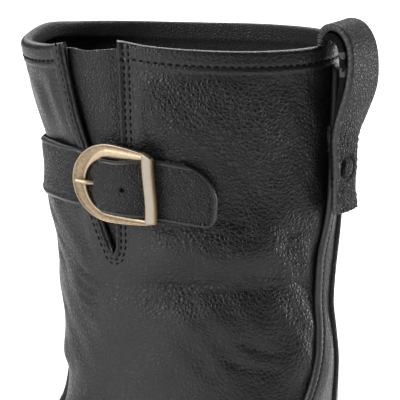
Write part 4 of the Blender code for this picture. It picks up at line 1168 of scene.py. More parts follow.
def seam_line(sections, middle, edges, side, inset, offset):
    """World points of a seam that follows a panel's edge at an inset."""
    section, angle = panel_grid(sections, middle, edges, SEAM_COLUMNS)
    near = row_distance(section, angle)
    half = near.shape[1] // 2
    part = slice(0, half + 1) if side < 0 else slice(None, half - 1, -1)
    turned = [np.interp(inset, row[part], turn[part]) for row, turn in zip(near, angle)]
    return on_upper(sections, np.array(turned), offset)


COUNTER_TOP_SECTION = float(shaft_section(COLLAR_HEIGHT - COLLAR_FACING_DEPTH))
COUNTER_SECTIONS = np.concatenate([np.linspace(0.0, 8.0, 40), np.linspace(8.15, COUNTER_TOP_SECTION, 110)])
VAMP_SECTIONS = np.concatenate([np.linspace(0.0, 9.0, 90), np.linspace(9.05, VAMP_EDGE[-1].section, 24)])


def back_stay():
    edge, columns = COUNTER_EDGE, COUNTER_COLUMNS
    return panel("back_stay", COUNTER_SECTIONS, math.pi, edge, columns, counter_profile, STAY_LEATHER_PAINTED_LIGHT)


def vamp():
    return panel("vamp_panel", VAMP_SECTIONS, 0.0, VAMP_EDGE, VAMP_COLUMNS, vamp_profile, PANEL_LEATHER)


def back_piping():
    """The rib over the back seam, from under the pull loop to the heel."""
    top = float(shaft_section(LOOP_PATH[-1].height + PIPING_UNDER_LOOP))
    sections = np.linspace(PIPING_FOOT_SECTION, top, 120)
    level = counter_profile(COUNTER_SEAM_AT + COUNTER_RISE_RUN, sections) + PIPING_SEAT
    return rod("back_seam_rib", on_upper(sections, math.pi, level), PIPING_RADIUS, (0, 1, 0), PANEL_LEATHER)


# The gusset

GussetRow = namedtuple("GussetRow", "angle_deg depth")
GUSSET_DEPTH = [
    GussetRow(48.0, 3.2),
    GussetRow(56.0, 3.3),
    GussetRow(60.0, 3.6),
    GussetRow(62.5, 3.5),
    GussetRow(65.0, 2.8),
    GussetRow(69.0, 2.2),
    GussetRow(74.0, 1.9),
    GussetRow(78.5, 2.5),
    GussetRow(82.0, 3.5),
    GussetRow(86.0, 3.4),
    GussetRow(92.0, 3.2),
]
GUSSET_TOP = 258.8
GUSSET_TOP_SAG = 1.2
GUSSET_FRONT_RISE = 1.6
GUSSET_SAG_FROM = 225.0
GUSSET_FOOT = 168.0
GUSSET_THICKNESS = 1.2
GUSSET_SHALLOWEST = 3.2
GUSSET_RIM_DEPTHS = np.array([1.4, 0.9, 0.5, 0.2, 0.0])
GUSSET_CLOSE_ROWS = 2.0  # how far under its top its rows begin to lie close together
GUSSET_OPENS_BELOW = 6.0  # how far under the slit's foot it begins to fold
GUSSET_OPENS_RUN = 60.0
GUSSET_WAVE_HEIGHT = 0.3
GUSSET_WAVE_CLIMB = 0.21
GUSSET_WAVE_TURNS = 8.0
GUSSET_FRONT_DEG = 72.0
GUSSET_FRONT_RUN_DEG = 10.0


def gusset():
    """The soft panel behind the slit, deepest where it folds in under the front flap."""
    face = np.linspace(GUSSET_FOOT, GUSSET_TOP - GUSSET_CLOSE_ROWS, 60)
    heights = np.concatenate([face, GUSSET_TOP - GUSSET_RIM_DEPTHS])[:, None]
    degrees = np.linspace(GUSSET_DEPTH[0].angle_deg, GUSSET_DEPTH[-1].angle_deg, 70)[None, :]
    opened = smoothstep((heights - SLIT_FOOT_HEIGHT + GUSSET_OPENS_BELOW) / GUSSET_OPENS_RUN)
    depth = GUSSET_SHALLOWEST + (table_curve(GUSSET_DEPTH, degrees) - GUSSET_SHALLOWEST) * opened
    wave = GUSSET_WAVE_HEIGHT * np.sin(GUSSET_WAVE_CLIMB * heights)
    wave = wave * np.sin(np.radians(GUSSET_WAVE_TURNS * degrees)) * opened
    turned = rounded(GUSSET_TOP - heights, GUSSET_THICKNESS / 2)
    across = (degrees - degrees[0, 0]) / (degrees[0, -1] - degrees[0, 0])
    at_front = smoothstep((GUSSET_FRONT_DEG - degrees) / GUSSET_FRONT_RUN_DEG)
    sag = GUSSET_TOP_SAG * np.sin(math.pi * across) - GUSSET_FRONT_RISE * at_front
    sag = sag * smoothstep((heights - GUSSET_SAG_FROM) / (GUSSET_TOP - GUSSET_SAG_FROM))
    section, angle = shaft_section(heights - sag), np.radians(degrees)
    outer = on_upper(section, angle, -depth + wave - turned)
    inner = on_upper(section, angle, -depth + wave - GUSSET_THICKNESS + turned)
    return shell("gusset_panel", outer, inner, PANEL_LEATHER)


# The strap

STRAP_SPREAD = 1.3  # how much wider each half of the strap is from the buckle on
STRAP_DRAWN_IN = 0.7  # how much narrower its upper half is inside the buckle's frame
STRAP_FRONT_WIDER = 2.0  # how much wider its lower half is before the buckle
STRAP_FRONT_BULGE = 1.5
STRAP_FRONT_SINK = 0.7
STRAP_BOW_HEIGHT = 0.97  # share of the arc's half height up to which the strap follows it
STRAP_BOW_END = -1.0
STRAP_BOW_RUN = 8.0
STRAP_EDGE_ROUND = 1.1
STRAP_UNDER_ROUND = 0.55  # how round its inner face's edge is beside its outer one
STRAP_LINE_AT = 2.2
STRAP_LINE_DEPTH = 0.26
STRAP_LINE_WIDTH = 0.6
STRAP_BEAD_AT = 1.0
STRAP_BEAD_HEIGHT = 0.3
STRAP_BEAD_WIDTH = 0.5
# how far in from the strap's edge the painted highlight reaches
STRAP_HIGHLIGHT_BAND = 1.5
# The pinhole and the one that the prong is in
Hole = namedtuple("Hole", "along across radius depth")
STRAP_HOLES = [Hole(2.9, -1.3, 0.85, 1.5), Hole(-11.8, -1.2, 1.4, 1.5)]
HOLE_EDGE = 0.5
HOLE_DISH_DEPTH = 0.45
HOLE_DISH_REACH = 2.6  # in radii of the hole
# Columns of its grid: coarse up to the buckle, fine from there to its end, close together at the tip
STRAP_COARSE_TO = -30.0
STRAP_FINE_FROM = -29.6
STRAP_FINE_STEP = 0.42
STRAP_TIP_FROM = 1.5
STRAP_TIP_INSETS = np.array([1.2, 0.9, 0.65, 0.42, 0.25, 0.1, 0.0])
# Stretches of the strap, by distance from the buckle's middle, with the runs of their soft ends
Stretch = namedtuple("Stretch", "start start_run end end_run")
INSIDE_BUCKLE = Stretch(-22.0, 6.0, 9.0, 10.0)
BEFORE_BUCKLE = Stretch(-58.0, 14.0, -15.0, 5.0)
ROUND_THE_FRONT = Stretch(-120.0, 30.0, -24.0, 14.0)
TOP_SPREAD_FROM = 2.0
TOP_SPREAD_RUN = 12.0
FOOT_SPREAD_FROM = -18.0
FOOT_SPREAD_RUN = 14.0


def strap_run():
    """Angles round the shaft from the strap's start, and the distance of each along the strap."""
    angles = np.radians(np.linspace(STRAP_START_DEG, STRAP_FAR_DEG, 1200))
    line = on_upper(shaft_section(BUCKLE_HEIGHT), angles, 0.0)
    length = np.concatenate([[0.0], np.cumsum(np.linalg.norm(np.diff(line, axis=0), axis=1))]) / MM
    return angles, length - np.interp(math.radians(BUCKLE_DEG), angles, length)


STRAP_ANGLES, STRAP_LENGTHS = strap_run()


def strap_points(along, across, offset):
    """World points of a band round the shaft: along from the buckle, across up from its middle line."""
    height = table_curve(STRAP_COURSE, along) + across
    return on_upper(shaft_section(height), np.interp(along, STRAP_LENGTHS, STRAP_ANGLES), offset)


def strap_end_inset(across):
    """How far short of the tail's end the strap stops, by height across it: two unlike round corners."""
    half = STRAP_WIDTH / 2
    top = np.maximum(across - (half - STRAP_TIP_TOP_RADIUS), 0.0)
    foot = np.maximum((STRAP_TIP_FOOT_RADIUS - half) - across, 0.0)
    top_inset = STRAP_TIP_TOP_RADIUS - np.sqrt(STRAP_TIP_TOP_RADIUS**2 - top**2)
    foot_inset = STRAP_TIP_FOOT_RADIUS - np.sqrt(STRAP_TIP_FOOT_RADIUS**2 - foot**2)
    return top_inset + foot_inset


def strap_lift(along, across):
    """Height of the strap's inner face over the shaft: it comes up inside the buckle's round arc."""
    inner_half = FRAME_HALF_HEIGHT - np.where(across > 0, FRAME_TOP_RAIL, FRAME_RAIL)
    share = np.clip(across / inner_half, -STRAP_BOW_HEIGHT, STRAP_BOW_HEIGHT)
    bow = (FRAME_REACH - FRAME_BAND) * (1 - np.sqrt(1 - share**2))
    return table_curve(STRAP_LIFT, along - bow * smoothstep((STRAP_BOW_END - along) / STRAP_BOW_RUN))


def strap_grid():
    """Rows across the strap and columns along it, finer round the pinhole."""
    across = STRAP_WIDTH / 2 * np.sin(np.linspace(-math.pi / 2, math.pi / 2, 41))
    hole_rows = STRAP_HOLES[0].across + np.linspace(-1.5, 1.5, 13)
    middle_rows = np.linspace(-1.6, 1.6, 9)
    far = np.linspace(STRAP_LENGTHS[0], STRAP_COARSE_TO, 120)
    near = np.arange(STRAP_FINE_FROM, STRAP_TAIL_LENGTH - STRAP_TIP_FROM, STRAP_FINE_STEP)
    tip = STRAP_TAIL_LENGTH - STRAP_TIP_INSETS
    hole_columns = STRAP_HOLES[0].along + np.linspace(-1.4, 1.4, 12)
    rows = np.unique(np.concatenate([across, hole_rows, middle_rows]))
    columns = np.unique(np.concatenate([far, near, hole_columns, tip]))
    return rows[:, None], columns[None, :]


def along_stretch(along, stretch):
    """1 on a stretch of the strap and 0 off it."""
    begun = smoothstep((along - stretch.start) / stretch.start_run)
    return begun * smoothstep((stretch.end - along) / stretch.end_run)


def strap_widening(along, across):
    """How much wider each half of the strap is than its usual half width, by place."""
    spread_top = smoothstep((along - TOP_SPREAD_FROM) / TOP_SPREAD_RUN)
    spread_foot = smoothstep((along - FOOT_SPREAD_FROM) / FOOT_SPREAD_RUN)
    spread = np.where(across > 0, spread_top, spread_foot)
    drawn_in = np.where(across > 0, along_stretch(along, INSIDE_BUCKLE), 0.0)
    wider = np.where(across < 0, STRAP_FRONT_WIDER * along_stretch(along, BEFORE_BUCKLE), 0.0)
    return STRAP_SPREAD * spread + wider - STRAP_DRAWN_IN * drawn_in


def strap_relief(along, across, near_edge):
    """The strap's pressed line, the bead beside it, and its dished holes."""
    bead = STRAP_BEAD_HEIGHT * bell(near_edge - STRAP_BEAD_AT, STRAP_BEAD_WIDTH)
    relief = groove(near_edge - STRAP_LINE_AT, STRAP_LINE_DEPTH, STRAP_LINE_WIDTH) + bead
    for hole in STRAP_HOLES:
        off = np.hypot(along - hole.along, across - hole.across)
        relief = relief - hole.depth * smoothstep((hole.radius + HOLE_EDGE / 2 - off) / HOLE_EDGE)
        relief = relief - HOLE_DISH_DEPTH * bell(off, HOLE_DISH_REACH * hole.radius)
    return relief


def strap():
    """The strap round the shaft, through the buckle and on to its rounded end."""
    half = STRAP_WIDTH / 2
    across, start = strap_grid()
    tail = smoothstep((start - STRAP_TAIL_FROM) / (STRAP_TAIL_LENGTH - STRAP_TAIL_FROM))
    along = start - strap_end_inset(across) * tail
    near_edge = np.minimum(half - np.abs(across), STRAP_TAIL_LENGTH - start)
    swell = STRAP_FRONT_BULGE * (1 - (across / half) ** 2) - STRAP_FRONT_SINK
    bulge = along_stretch(along, ROUND_THE_FRONT) * swell
    across = across * (1 + strap_widening(along, across) / half)
    lift = strap_lift(along, across) + bulge
    turned = rounded(near_edge, STRAP_EDGE_ROUND)
    relief = strap_relief(along, across, near_edge)
    outer = strap_points(along, across, lift + STRAP_THICKNESS + relief - turned)
    inner = strap_points(along, across, lift + np.minimum(turned, STRAP_UNDER_ROUND * STRAP_EDGE_ROUND))
    # painted highlight: the rounded edges take the paler edge colour
    highlit_edge = (near_edge[:-1, :-1] < STRAP_HIGHLIGHT_BAND) & (near_edge[1:, 1:] < STRAP_HIGHLIGHT_BAND)
    return shell("buckle_strap", outer, inner, STRAP_LEATHER, EDGE_PAINTED_HIGHLIGHT, highlit_edge)


# The buckle

FLAT_BAR_LEAN = 2.6
LEAN_FROM = -11.0  # height across the strap at which the bar begins to lean
LEAN_RUN = 25.0
RAIL_TAPER = 1.5  # how late the rails draw together towards the bar
BAR_ROUND = 0.45
ProngPoint = namedtuple("ProngPoint", "along level")
PRONG_PATH = [
    ProngPoint(-0.9, 3.9),
    ProngPoint(-5.0, 3.9),
    ProngPoint(-9.4, 4.1),
    ProngPoint(-12.2, 5.5),
    ProngPoint(-14.4, 6.2),
    ProngPoint(-18.4, 6.15),
]
# The frame's cross section over the edge of its recess: a lip inside, the recess, and a thin outer lip
InnerLip = namedtuple("InnerLip", "place share")
FRAME_LIP = [
    InnerLip(0.0, 0.62),
    InnerLip(0.22, 0.56),
    InnerLip(0.38, 0.24),
    InnerLip(0.55, 0.20),
    InnerLip(0.78, 0.26),
    InnerLip(1.0, 0.55),
]
RECESS_LEVEL = 0.62
FRAME_FACE = 1.2
FRAME_SIDE = 0.6
# The flat bar's cross section from edge to edge
BarPoint = namedtuple("BarPoint", "across level")
BAR_HALF_PROFILE = [
    BarPoint(0.06, -1.20),
    BarPoint(0.00, -0.95),
    BarPoint(0.00, 0.80),
    BarPoint(0.04, 1.00),
    BarPoint(0.13, 1.18),
    BarPoint(0.30, 1.24),
]
BAR_MIDDLE = BarPoint(0.50, 1.26)
BAR_OTHER_HALF = [BarPoint(1 - point.across, point.level) for point in BAR_HALF_PROFILE[::-1]]
BAR_PROFILE = [*BAR_HALF_PROFILE, BAR_MIDDLE, *BAR_OTHER_HALF]
BAR_TOP = 14.9
BAR_TOP_CUT = 1.7
BAR_FOOT_CUT = 1.0
BAR_ENDS = np.array([0.0, 0.012, 0.03, 0.05])  # shares of its length where its ends turn
BAR_FLAT = 0.4  # how far from its middle its bright face reaches, as a share of its width
BAR_FACE_DULLNESS = 0.1
BAR_EDGE_DULLNESS = 1.0


def buckle_axes():
    """Axes of the buckle: x along the strap to the back, y up across it, z out of the shaft."""
    ahead, behind = strap_points(-BUCKLE_SPAN, 0.0, 0.0), strap_points(BUCKLE_SPAN, 0.0, 0.0)
    above, below = strap_points(0.0, BUCKLE_SPAN, 0.0), strap_points(0.0, -BUCKLE_SPAN, 0.0)
    x = Vector(behind - ahead).normalized()
    z = x.cross(Vector(above - below)).normalized()
    turn = np.array(Matrix((x, z.cross(x), z)))
    return strap_points(0.0, 0.0, 0.0), turn


BUCKLE_ORIGIN, BUCKLE_TURN = buckle_axes()


def in_buckle(points):
    """Points in the buckle's own axes, in millimetres, to world metres."""
    return BUCKLE_ORIGIN + np.asarray(points, float) @ BUCKLE_TURN * MM


def bar_lean(y):
    """How far the flat bar leans towards the arc, by height across the strap."""
    return FLAT_BAR_LEAN * smoothstep((y - LEAN_FROM) / LEAN_RUN)


def leaning(x, y):
    """The buckle's upper rail is a little shorter than its lower one, so the flat bar leans."""
    toward_bar = np.clip((x - FRAME_ARC_CENTRE) / (FRAME_END - FRAME_ARC_CENTRE), 0.0, 1.2)
    return x - bar_lean(y) * toward_bar


def frame_line(reach, top, foot, end_top, end_foot):
    """A D in plan: an upper rail, a half ellipse and a lower rail."""
    run = np.linspace(1.0, 0.0, 12)[:-1]
    rail_x = FRAME_ARC_CENTRE + (FRAME_END - FRAME_ARC_CENTRE) * run
    upper_y = top + (end_top - top) * run**RAIL_TAPER
    lower_y = foot + (end_foot - foot) * run**RAIL_TAPER
    turn = np.linspace(math.pi / 2, 3 * math.pi / 2, 49)
    height = np.where(np.sin(turn) > 0, top, foot)
    x = np.concatenate([rail_x, FRAME_ARC_CENTRE + reach * np.cos(turn), rail_x[::-1]])
    y = np.concatenate([upper_y, height * np.sin(turn), -lower_y[::-1]])
    return np.column_stack([leaning(x, y), y])


def frame_profile(lip):
    """Cross section of the frame: share of the way to its outer edge, height and dullness."""
    return [
        (0.15, -FRAME_FACE, 0.5), (0.03, -1.05, 0.5), (0.0, -FRAME_SIDE, 0.4), (0.0, FRAME_SIDE, 0.2),
        (0.12 * lip, 1.02, 0.0), (0.4 * lip, FRAME_FACE, 0.0), (0.8 * lip, 1.14, 0.1), (lip, 0.98, 0.4),
        (lip + 0.07, RECESS_LEVEL + 0.08, 0.9), (0.5 + 0.5 * lip, RECESS_LEVEL, 0.8),
        (0.86, RECESS_LEVEL + 0.1, 0.8),
        (0.90, 0.98, 0.3), (0.94, 1.08, 0.0), (0.985, 0.9, 0.0), (1.0, 0.45, 0.3), (1.0, -FRAME_SIDE, 0.5),
        (0.96, -1.05, 0.5), (0.85, -FRAME_FACE, 0.5),
    ]


def buckle_frame():
    """The buckle's D: two rails and an arc with a recess."""
    outer = frame_line(FRAME_REACH, FRAME_HALF_HEIGHT, FRAME_FOOT, FRAME_END_TOP, FRAME_END_FOOT)
    inner = frame_line(
        FRAME_REACH - FRAME_BAND,
        FRAME_HALF_HEIGHT - FRAME_TOP_RAIL,
        FRAME_HALF_HEIGHT - FRAME_RAIL,
        FRAME_END_TOP - FRAME_END_RAIL,
        FRAME_END_FOOT - FRAME_END_RAIL,
    )
    lips = table_curve(FRAME_LIP, np.linspace(0.0, 1.0, len(outer)))
    rings, dullness = [], []
    for inside, outside, lip in zip(inner, outer, lips):
        profile = np.array(frame_profile(lip))
        plan = inside + (outside - inside) * profile[:, :1]
        rings.append(np.column_stack([plan, FRAME_LEVEL + profile[:, 1]]))
        dullness.append(profile[:, 2])
    return outward(loft("buckle_arc", in_buckle(np.stack(rings)), BRASS, grain=np.stack(dullness)))


def flat_bar():
    """The flat bar over the rails' ends, brushed along its length."""
    rows, dullness = [], []
    for share in np.concatenate([BAR_ENDS, np.linspace(0.1, 0.9, 15), 1 - BAR_ENDS[::-1]]):
        row = []
        near = min(share, 1 - share) * 2 * FLAT_BAR_HALF_LENGTH
        drop = float(rounded(near, BAR_ROUND))
        for across, level in BAR_PROFILE:
            foot = BAR_FOOT_CUT * across - FLAT_BAR_HALF_LENGTH
            y = foot + (BAR_TOP - BAR_TOP_CUT * across - foot) * share
            x = FLAT_BAR_AT + FLAT_BAR_WIDTH * (across - 0.5) - float(bar_lean(y))
            row.append((x, y, FLAT_BAR_LEVEL + level * (1 - drop / FLAT_BAR_THICKNESS)))
            dullness.append(BAR_EDGE_DULLNESS if abs(across - 0.5) > BAR_FLAT else BAR_FACE_DULLNESS)
        rows.append(row)
    return outward(loft("buckle_flat_bar", in_buckle(rows), BRUSHED_BRASS, grain=dullness))


def smooth_path(points, steps):
    """Points on a smooth curve through a route."""
    points = np.array(points, float)
    padded = np.vstack([2 * points[0] - points[1], points, 2 * points[-1] - points[-2]])
    path = []
    for i in range(len(points) - 1):
        a, b, c, d = padded[i : i + 4]
        for t in np.linspace(0.0, 1.0, steps, endpoint=False):
            turn = (2 * b) + (c - a) * t + (2 * a - 5 * b + 4 * c - d) * t**2
            path.append(0.5 * (turn + (3 * b - a - 3 * c + d) * t**3))
    return np.array(path + [points[-1]])


def prong():
    """The pin from the centre bar through the strap to the arc."""
    path = smooth_path(PRONG_PATH, 8)
    points = in_buckle(np.column_stack([path[:, 0], np.full(len(path), PRONG_ACROSS), path[:, 1]]))
    return rod("buckle_prong", points, PRONG_RADIUS, BUCKLE_TURN[1], BRASS, sides=14)


def centre_bar():
    reach = FRAME_HALF_HEIGHT - FRAME_RAIL
    line = np.linspace(-reach, reach, 9)
    points = np.column_stack([np.full(9, CENTRE_BAR_AT), line, np.full(9, FRAME_LEVEL)])
    return rod("buckle_centre_bar", in_buckle(points), CENTRE_BAR_RADIUS, BUCKLE_TURN[2], BRASS)


CHAPE_END = 27.0
CHAPE_BEND_AT = 5.5
CHAPE_THICKNESS = 0.7
CHAPE_LOW = 10.3
CHAPE_HIGH = 12.3
CHAPE_GAP = 0.25
CHAPE_COLUMNS = 15
CHAPE_END_ROW = 0.3  # inset of the row that keeps its end sharp
CHAPE_NEXT_ROW = 1.0
CHAPE_WIDE_FROM = 16.0
CHAPE_WIDE_RUN = 4.0
CHAPE_ON_BAR = 0.1  # gap round the centre bar


def chape():
    """The short strip that holds the buckle: sewn down behind the tail, and bent round the centre bar."""
    across = np.linspace(-1.0, 1.0, CHAPE_COLUMNS)
    every = np.ones(CHAPE_COLUMNS)
    end = [CHAPE_END, CHAPE_END - CHAPE_END_ROW]
    flat = np.linspace(CHAPE_END - CHAPE_NEXT_ROW, CHAPE_BEND_AT, 24)
    low, high = [], []
    for along in np.concatenate([end, flat]):
        wide = smoothstep((along - CHAPE_WIDE_FROM) / CHAPE_WIDE_RUN)
        half_top = CHAPE_LOW + (CHAPE_HIGH - CHAPE_LOW) * wide
        y = np.where(across > 0, across * half_top, across * CHAPE_LOW)
        low.append(strap_points(along * every, y, CHAPE_GAP))
        high.append(strap_points(along * every, y, CHAPE_GAP + CHAPE_THICKNESS))
    radius = CENTRE_BAR_RADIUS + CHAPE_ON_BAR
    for turn in np.linspace(-math.pi / 2, -3 * math.pi / 2, 13):
        way = np.array([math.cos(turn), math.sin(turn)])
        for layer, size in ((high, radius), (low, radius + CHAPE_THICKNESS)):
            x, z = np.array([CENTRE_BAR_AT, FRAME_LEVEL]) + way * size
            layer.append(in_buckle(np.column_stack([x * every, across * CHAPE_LOW, z * every])))
    return outward(shell("buckle_chape", np.stack(high), np.stack(low), STRAP_LEATHER))


# The pull loop

LOOP_EDGE_ROUND = 0.7
LOOP_COLUMNS = 44
LOOP_EDGE_STEPS = 5
PINCH_HEIGHT = 206.0
RING_HEIGHT = 213.2
RING_ACROSS = 1.6
RING_RADIUS = 4.6
RING_BREADTH = 1.25
RING_WIDTH = 0.8
RING_DEPTH = 1.5
CRUMPLED_BELOW = 234.0
TORN_FOOT = 250.5
TORN_TOP = 260.5
TORN_FROM_U = -3.0
# The last finish is painted shade: black thread on the loop's pressed ring and on the inner ply's edge, where
# shade falls
LOOP_FACE, LOOP_EDGE, LOOP_TORN, LOOP_PAINTED_SHADE = range(4)
LOOP_FINISHES = [LOOP_LEATHER, RAW_EDGE, TORN_EDGE, THREAD]
CRUMPLED_RUN = 10.0
LOOP_STEPS = 14  # between two points of its path
LOOP_GRAIN = 0.7
CRUMPLED_GRAIN = 0.9  # how much coarser its grain is where it is crumpled
# Waves of a ply's ragged edges, by step along its path
CRINKLE_FAST = 1.7
CRINKLE_SLOW = 0.83
CRINKLE_SLOW_SHARE = 0.8
CRINKLE_START = 1.0
CRINKLE_APART = 3.0  # how far apart the two edges' waves start
OUTER_RAGGED = 0.12
INNER_RAGGED = 0.35
FRAY_FAST = 1.9
FRAY_SLOW = 0.7
FRAY_START = 1.0
FRAY_ABOVE = 0.1
DOME_HEIGHT = 0.7
DOME_RADIUS = 2.8
PINCH_DEPTH = 1.1
PINCH_RUN = 2.2
SEWN_FROM = 0.5  # share of the ply's length
SEWN_RUN = 0.1
# Waves of the crumpled leather: how fast they run up and across it, and start
Crumple = namedtuple("Crumple", "up across start")
CRUMPLE_BROAD = Crumple(1.1, 0.9, 0.0)
CRUMPLE_BREAK = Crumple(-0.6, 0.8, 1.0)
CRUMPLE_FINE = Crumple(2.3, -1.1, 0.0)
CRUMPLE_HEIGHT = 0.22
CRUMPLE_FINE_HEIGHT = 0.15


def crumple_wave(wave, across, height):
    return np.sin(wave.up * height + wave.across * across + wave.start)


def loop_relief(across, height, share):
    """The tack ring pressed into the loop's sewn end, the pinch under it and crumpled leather round it."""
    off = np.hypot((across - RING_ACROSS) / RING_BREADTH, height - RING_HEIGHT)
    ring = -RING_DEPTH * bell(off - RING_RADIUS, RING_WIDTH)
    dome = DOME_HEIGHT * bell(off, DOME_RADIUS)
    pinch = -PINCH_DEPTH * bell(height - PINCH_HEIGHT, PINCH_RUN)
    broad, broken, fine = (
        crumple_wave(wave, across, height) for wave in (CRUMPLE_BROAD, CRUMPLE_BREAK, CRUMPLE_FINE)
    )
    crumple = CRUMPLE_HEIGHT * broad * broken + CRUMPLE_FINE_HEIGHT * fine
    sewn = smoothstep((CRUMPLED_BELOW - height) / CRUMPLED_RUN)
    sewn = sewn * smoothstep((share - SEWN_FROM) / SEWN_RUN)
    return (ring + dome + pinch + crumple) * sewn


def loop_ply(name, points, relief, ragged, marks):
    """One ply of the loop: a strip with a ragged edge, its outer face pressed by a relief."""
    route = smooth_path(points, LOOP_STEPS)
    path, curl, half, twist = route[:, :2], route[:, 2:3], route[:, 3:4], route[:, 4:5]
    tangent = unit(np.gradient(path, axis=0))
    out = np.column_stack([tangent[:, 1], -tangent[:, 0]])
    flat = np.linspace(1.0, -1.0, LOOP_COLUMNS)
    turn = np.linspace(0.0, math.pi, LOOP_EDGE_STEPS + 2)[1:-1]
    still, wide = np.zeros(LOOP_COLUMNS), np.ones(LOOP_COLUMNS)
    share = np.concatenate([flat, np.full(LOOP_EDGE_STEPS, -1.0), -flat, np.full(LOOP_EDGE_STEPS, 1.0)])
    proud = np.concatenate([still, -np.sin(turn), still, np.sin(turn)])
    level = np.concatenate([wide, np.cos(turn), -wide, -np.cos(turn)]) * LOOP_THICKNESS / 2
    step = np.arange(len(path))[:, None]
    slow = CRINKLE_SLOW_SHARE * np.sin(CRINKLE_SLOW * step + CRINKLE_START + CRINKLE_APART * proud)
    crinkle = LOOP_EDGE_ROUND + ragged * (np.sin(CRINKLE_FAST * step) + slow)
    across = share * (half - LOOP_EDGE_ROUND) + proud * crinkle
    level = np.broadcast_to(level, across.shape).copy()
    level[:, :LOOP_COLUMNS] += relief(across[:, :LOOP_COLUMNS], path[:, 1:], step / len(path))
    u = path[:, :1] + out[:, :1] * level + curl * across**2 / (2 * LOOP_CURL_RADIUS) + twist * across / half
    z = path[:, 1:] + out[:, 1:] * level
    rings = to_world(np.stack([u, across, z], axis=-1))
    index = np.arange(rings.shape[0] * rings.shape[1]).reshape(rings.shape[:2])
    faces = quad_faces(index, wrap=True) + [index[0, ::-1].tolist(), index[-1].tolist()]
    on_edge = np.full(rings.shape[1], LOOP_EDGE)
    on_edge[: LOOP_COLUMNS - 1] = LOOP_FACE
    on_edge[LOOP_COLUMNS + LOOP_EDGE_STEPS : 2 * LOOP_COLUMNS + LOOP_EDGE_STEPS - 1] = LOOP_FACE
    finish = np.tile(on_edge, (len(path) - 1, 1))
    marks(finish, np.broadcast_to(path[:, :1], across.shape)[:-1], across[:-1], z[:-1])
    finish = finish.ravel().tolist() + [LOOP_EDGE, LOOP_EDGE]
    coarse = LOOP_GRAIN + CRUMPLED_GRAIN * smoothstep((CRUMPLED_BELOW - z) / CRUMPLED_RUN)
    return outward(as_object(name, rings.reshape(-1, 3), faces, LOOP_FINISHES, coarse, finish))


def speckled(place):
    """Whether a place along a torn edge is frayed light."""
    return np.sin(FRAY_FAST * place) + np.sin(FRAY_SLOW * place + FRAY_START) > FRAY_ABOVE


def outer_marks(finish, u, across, height):
    """Finishes of the outer ply: black in the pressed ring as painted shade, and torn specks on its sewn near
    edge.
    """
    off = np.hypot((across - RING_ACROSS) / RING_BREADTH, height - RING_HEIGHT)
    shaded_ring = (np.abs(off - RING_RADIUS) < RING_WIDTH) & (u < TORN_FROM_U)
    # painted shade: the ring's crevice is painted black
    finish[shaded_ring & (finish == LOOP_FACE)] = LOOP_PAINTED_SHADE
    specks = (height < CRUMPLED_BELOW) & speckled(height)
    finish[:, -2:][specks[:, -2:]] = LOOP_TORN


def inner_marks(finish, u, across, height):
    """Finishes of the inner ply's edge: torn where it is sewn to the hem, else painted black as shade."""
    edge = finish == LOOP_EDGE
    torn = (height > TORN_FOOT) & (height < TORN_TOP) & (u < TORN_FROM_U) & speckled(height + across)
    finish[edge & torn] = LOOP_TORN
    # painted shade: the rest of the inner ply's edge, inside the loop, is painted black
    finish[edge & ~torn] = LOOP_PAINTED_SHADE


def flat_relief(across, height, share):
    """The inner ply's face is plain."""
    return np.zeros(across.shape)


def pull_loop():
    """The loop's two plies."""
    outer = loop_ply("pull_loop_outer", LOOP_PATH, loop_relief, OUTER_RAGGED, outer_marks)
    inner = loop_ply("pull_loop_inner", LOOP_INNER_PATH, flat_relief, INNER_RAGGED, inner_marks)
    return outer, inner


# The sole

SOLE_COLUMNS = 240
SOLE_CROWDING = 0.22
SPINE_BACK_U = 20.0
SPINE_FRONT_U = 245.0
INSOLE_INSET = 5.4
INSOLE_LEVELS = (4.3, 7.3)
INSOLE_ROUND = (0.4, 0.6)  # how far in and down its upper edge is cut
LAYER_PITCH = 4.6
# The groove between two layers of the heel: height from the joint, and how far in as a share
LAYER_GROOVE = [(-0.35, 0.0), (-0.1, 0.012), (0.1, 0.012), (0.35, 0.0)]
HEEL_GAP = 0.1
LUG_BEVEL = 0.7

# Rows of the sole's pieces: outset from the feather edge, level over it, share of the way to the middle
SoleRow = namedtuple("SoleRow", "outset level share", defaults=(0.0,))
WELT_ROWS = [
    SoleRow(-2.2, -0.15),
    SoleRow(1.6, -0.15),
    SoleRow(3.4, -0.20),
    SoleRow(4.4, -0.36),
    SoleRow(4.9, -0.75),
    SoleRow(5.0, -1.25),
    SoleRow(4.7, -1.95),
    SoleRow(5.0, -2.65),
    SoleRow(5.0, -3.40),
    SoleRow(4.7, -3.85),
    SoleRow(-2.2, -3.95),
]
OUTSOLE_ROWS = [
    SoleRow(4.0, -4.2, 1.0),
    SoleRow(4.0, -4.2, 0.3),
    SoleRow(4.5, -4.25),
    SoleRow(4.95, -4.6),
    SoleRow(5.0, -5.2),
    SoleRow(5.0, -7.0),
    SoleRow(4.65, -7.4),
    SoleRow(5.0, -7.8),
    SoleRow(5.0, -10.2),
    SoleRow(4.8, -10.8),
    SoleRow(4.2, -11.1),
    SoleRow(3.0, -11.1),
    SoleRow(3.0, -11.1, 0.3),
    SoleRow(3.0, -11.1, 1.0),
]


def sole_rings(rows):
    """Rings of a piece of the sole, one for each row, each round the whole outline."""
    turn = np.linspace(0.0, 2 * math.pi, SOLE_COLUMNS, endpoint=False)
    angle = turn + SOLE_CROWDING * np.sin(2 * turn)
    rings = []
    for outset, level, share in rows:
        edge = sole_outline(angle, outset)
        middle = (edge + sole_outline(-angle, outset)) / 2
        middle[:, 0] = np.clip(middle[:, 0], SPINE_BACK_U, SPINE_FRONT_U)
        middle[:, 1] = np.interp(middle[:, 0], *spine_line(outset))
        plan = edge * (1 - share) + middle * share
        rings.append(to_world(np.column_stack([plan, feather(plan[:, 0]) + level])))
    return np.stack(rings)


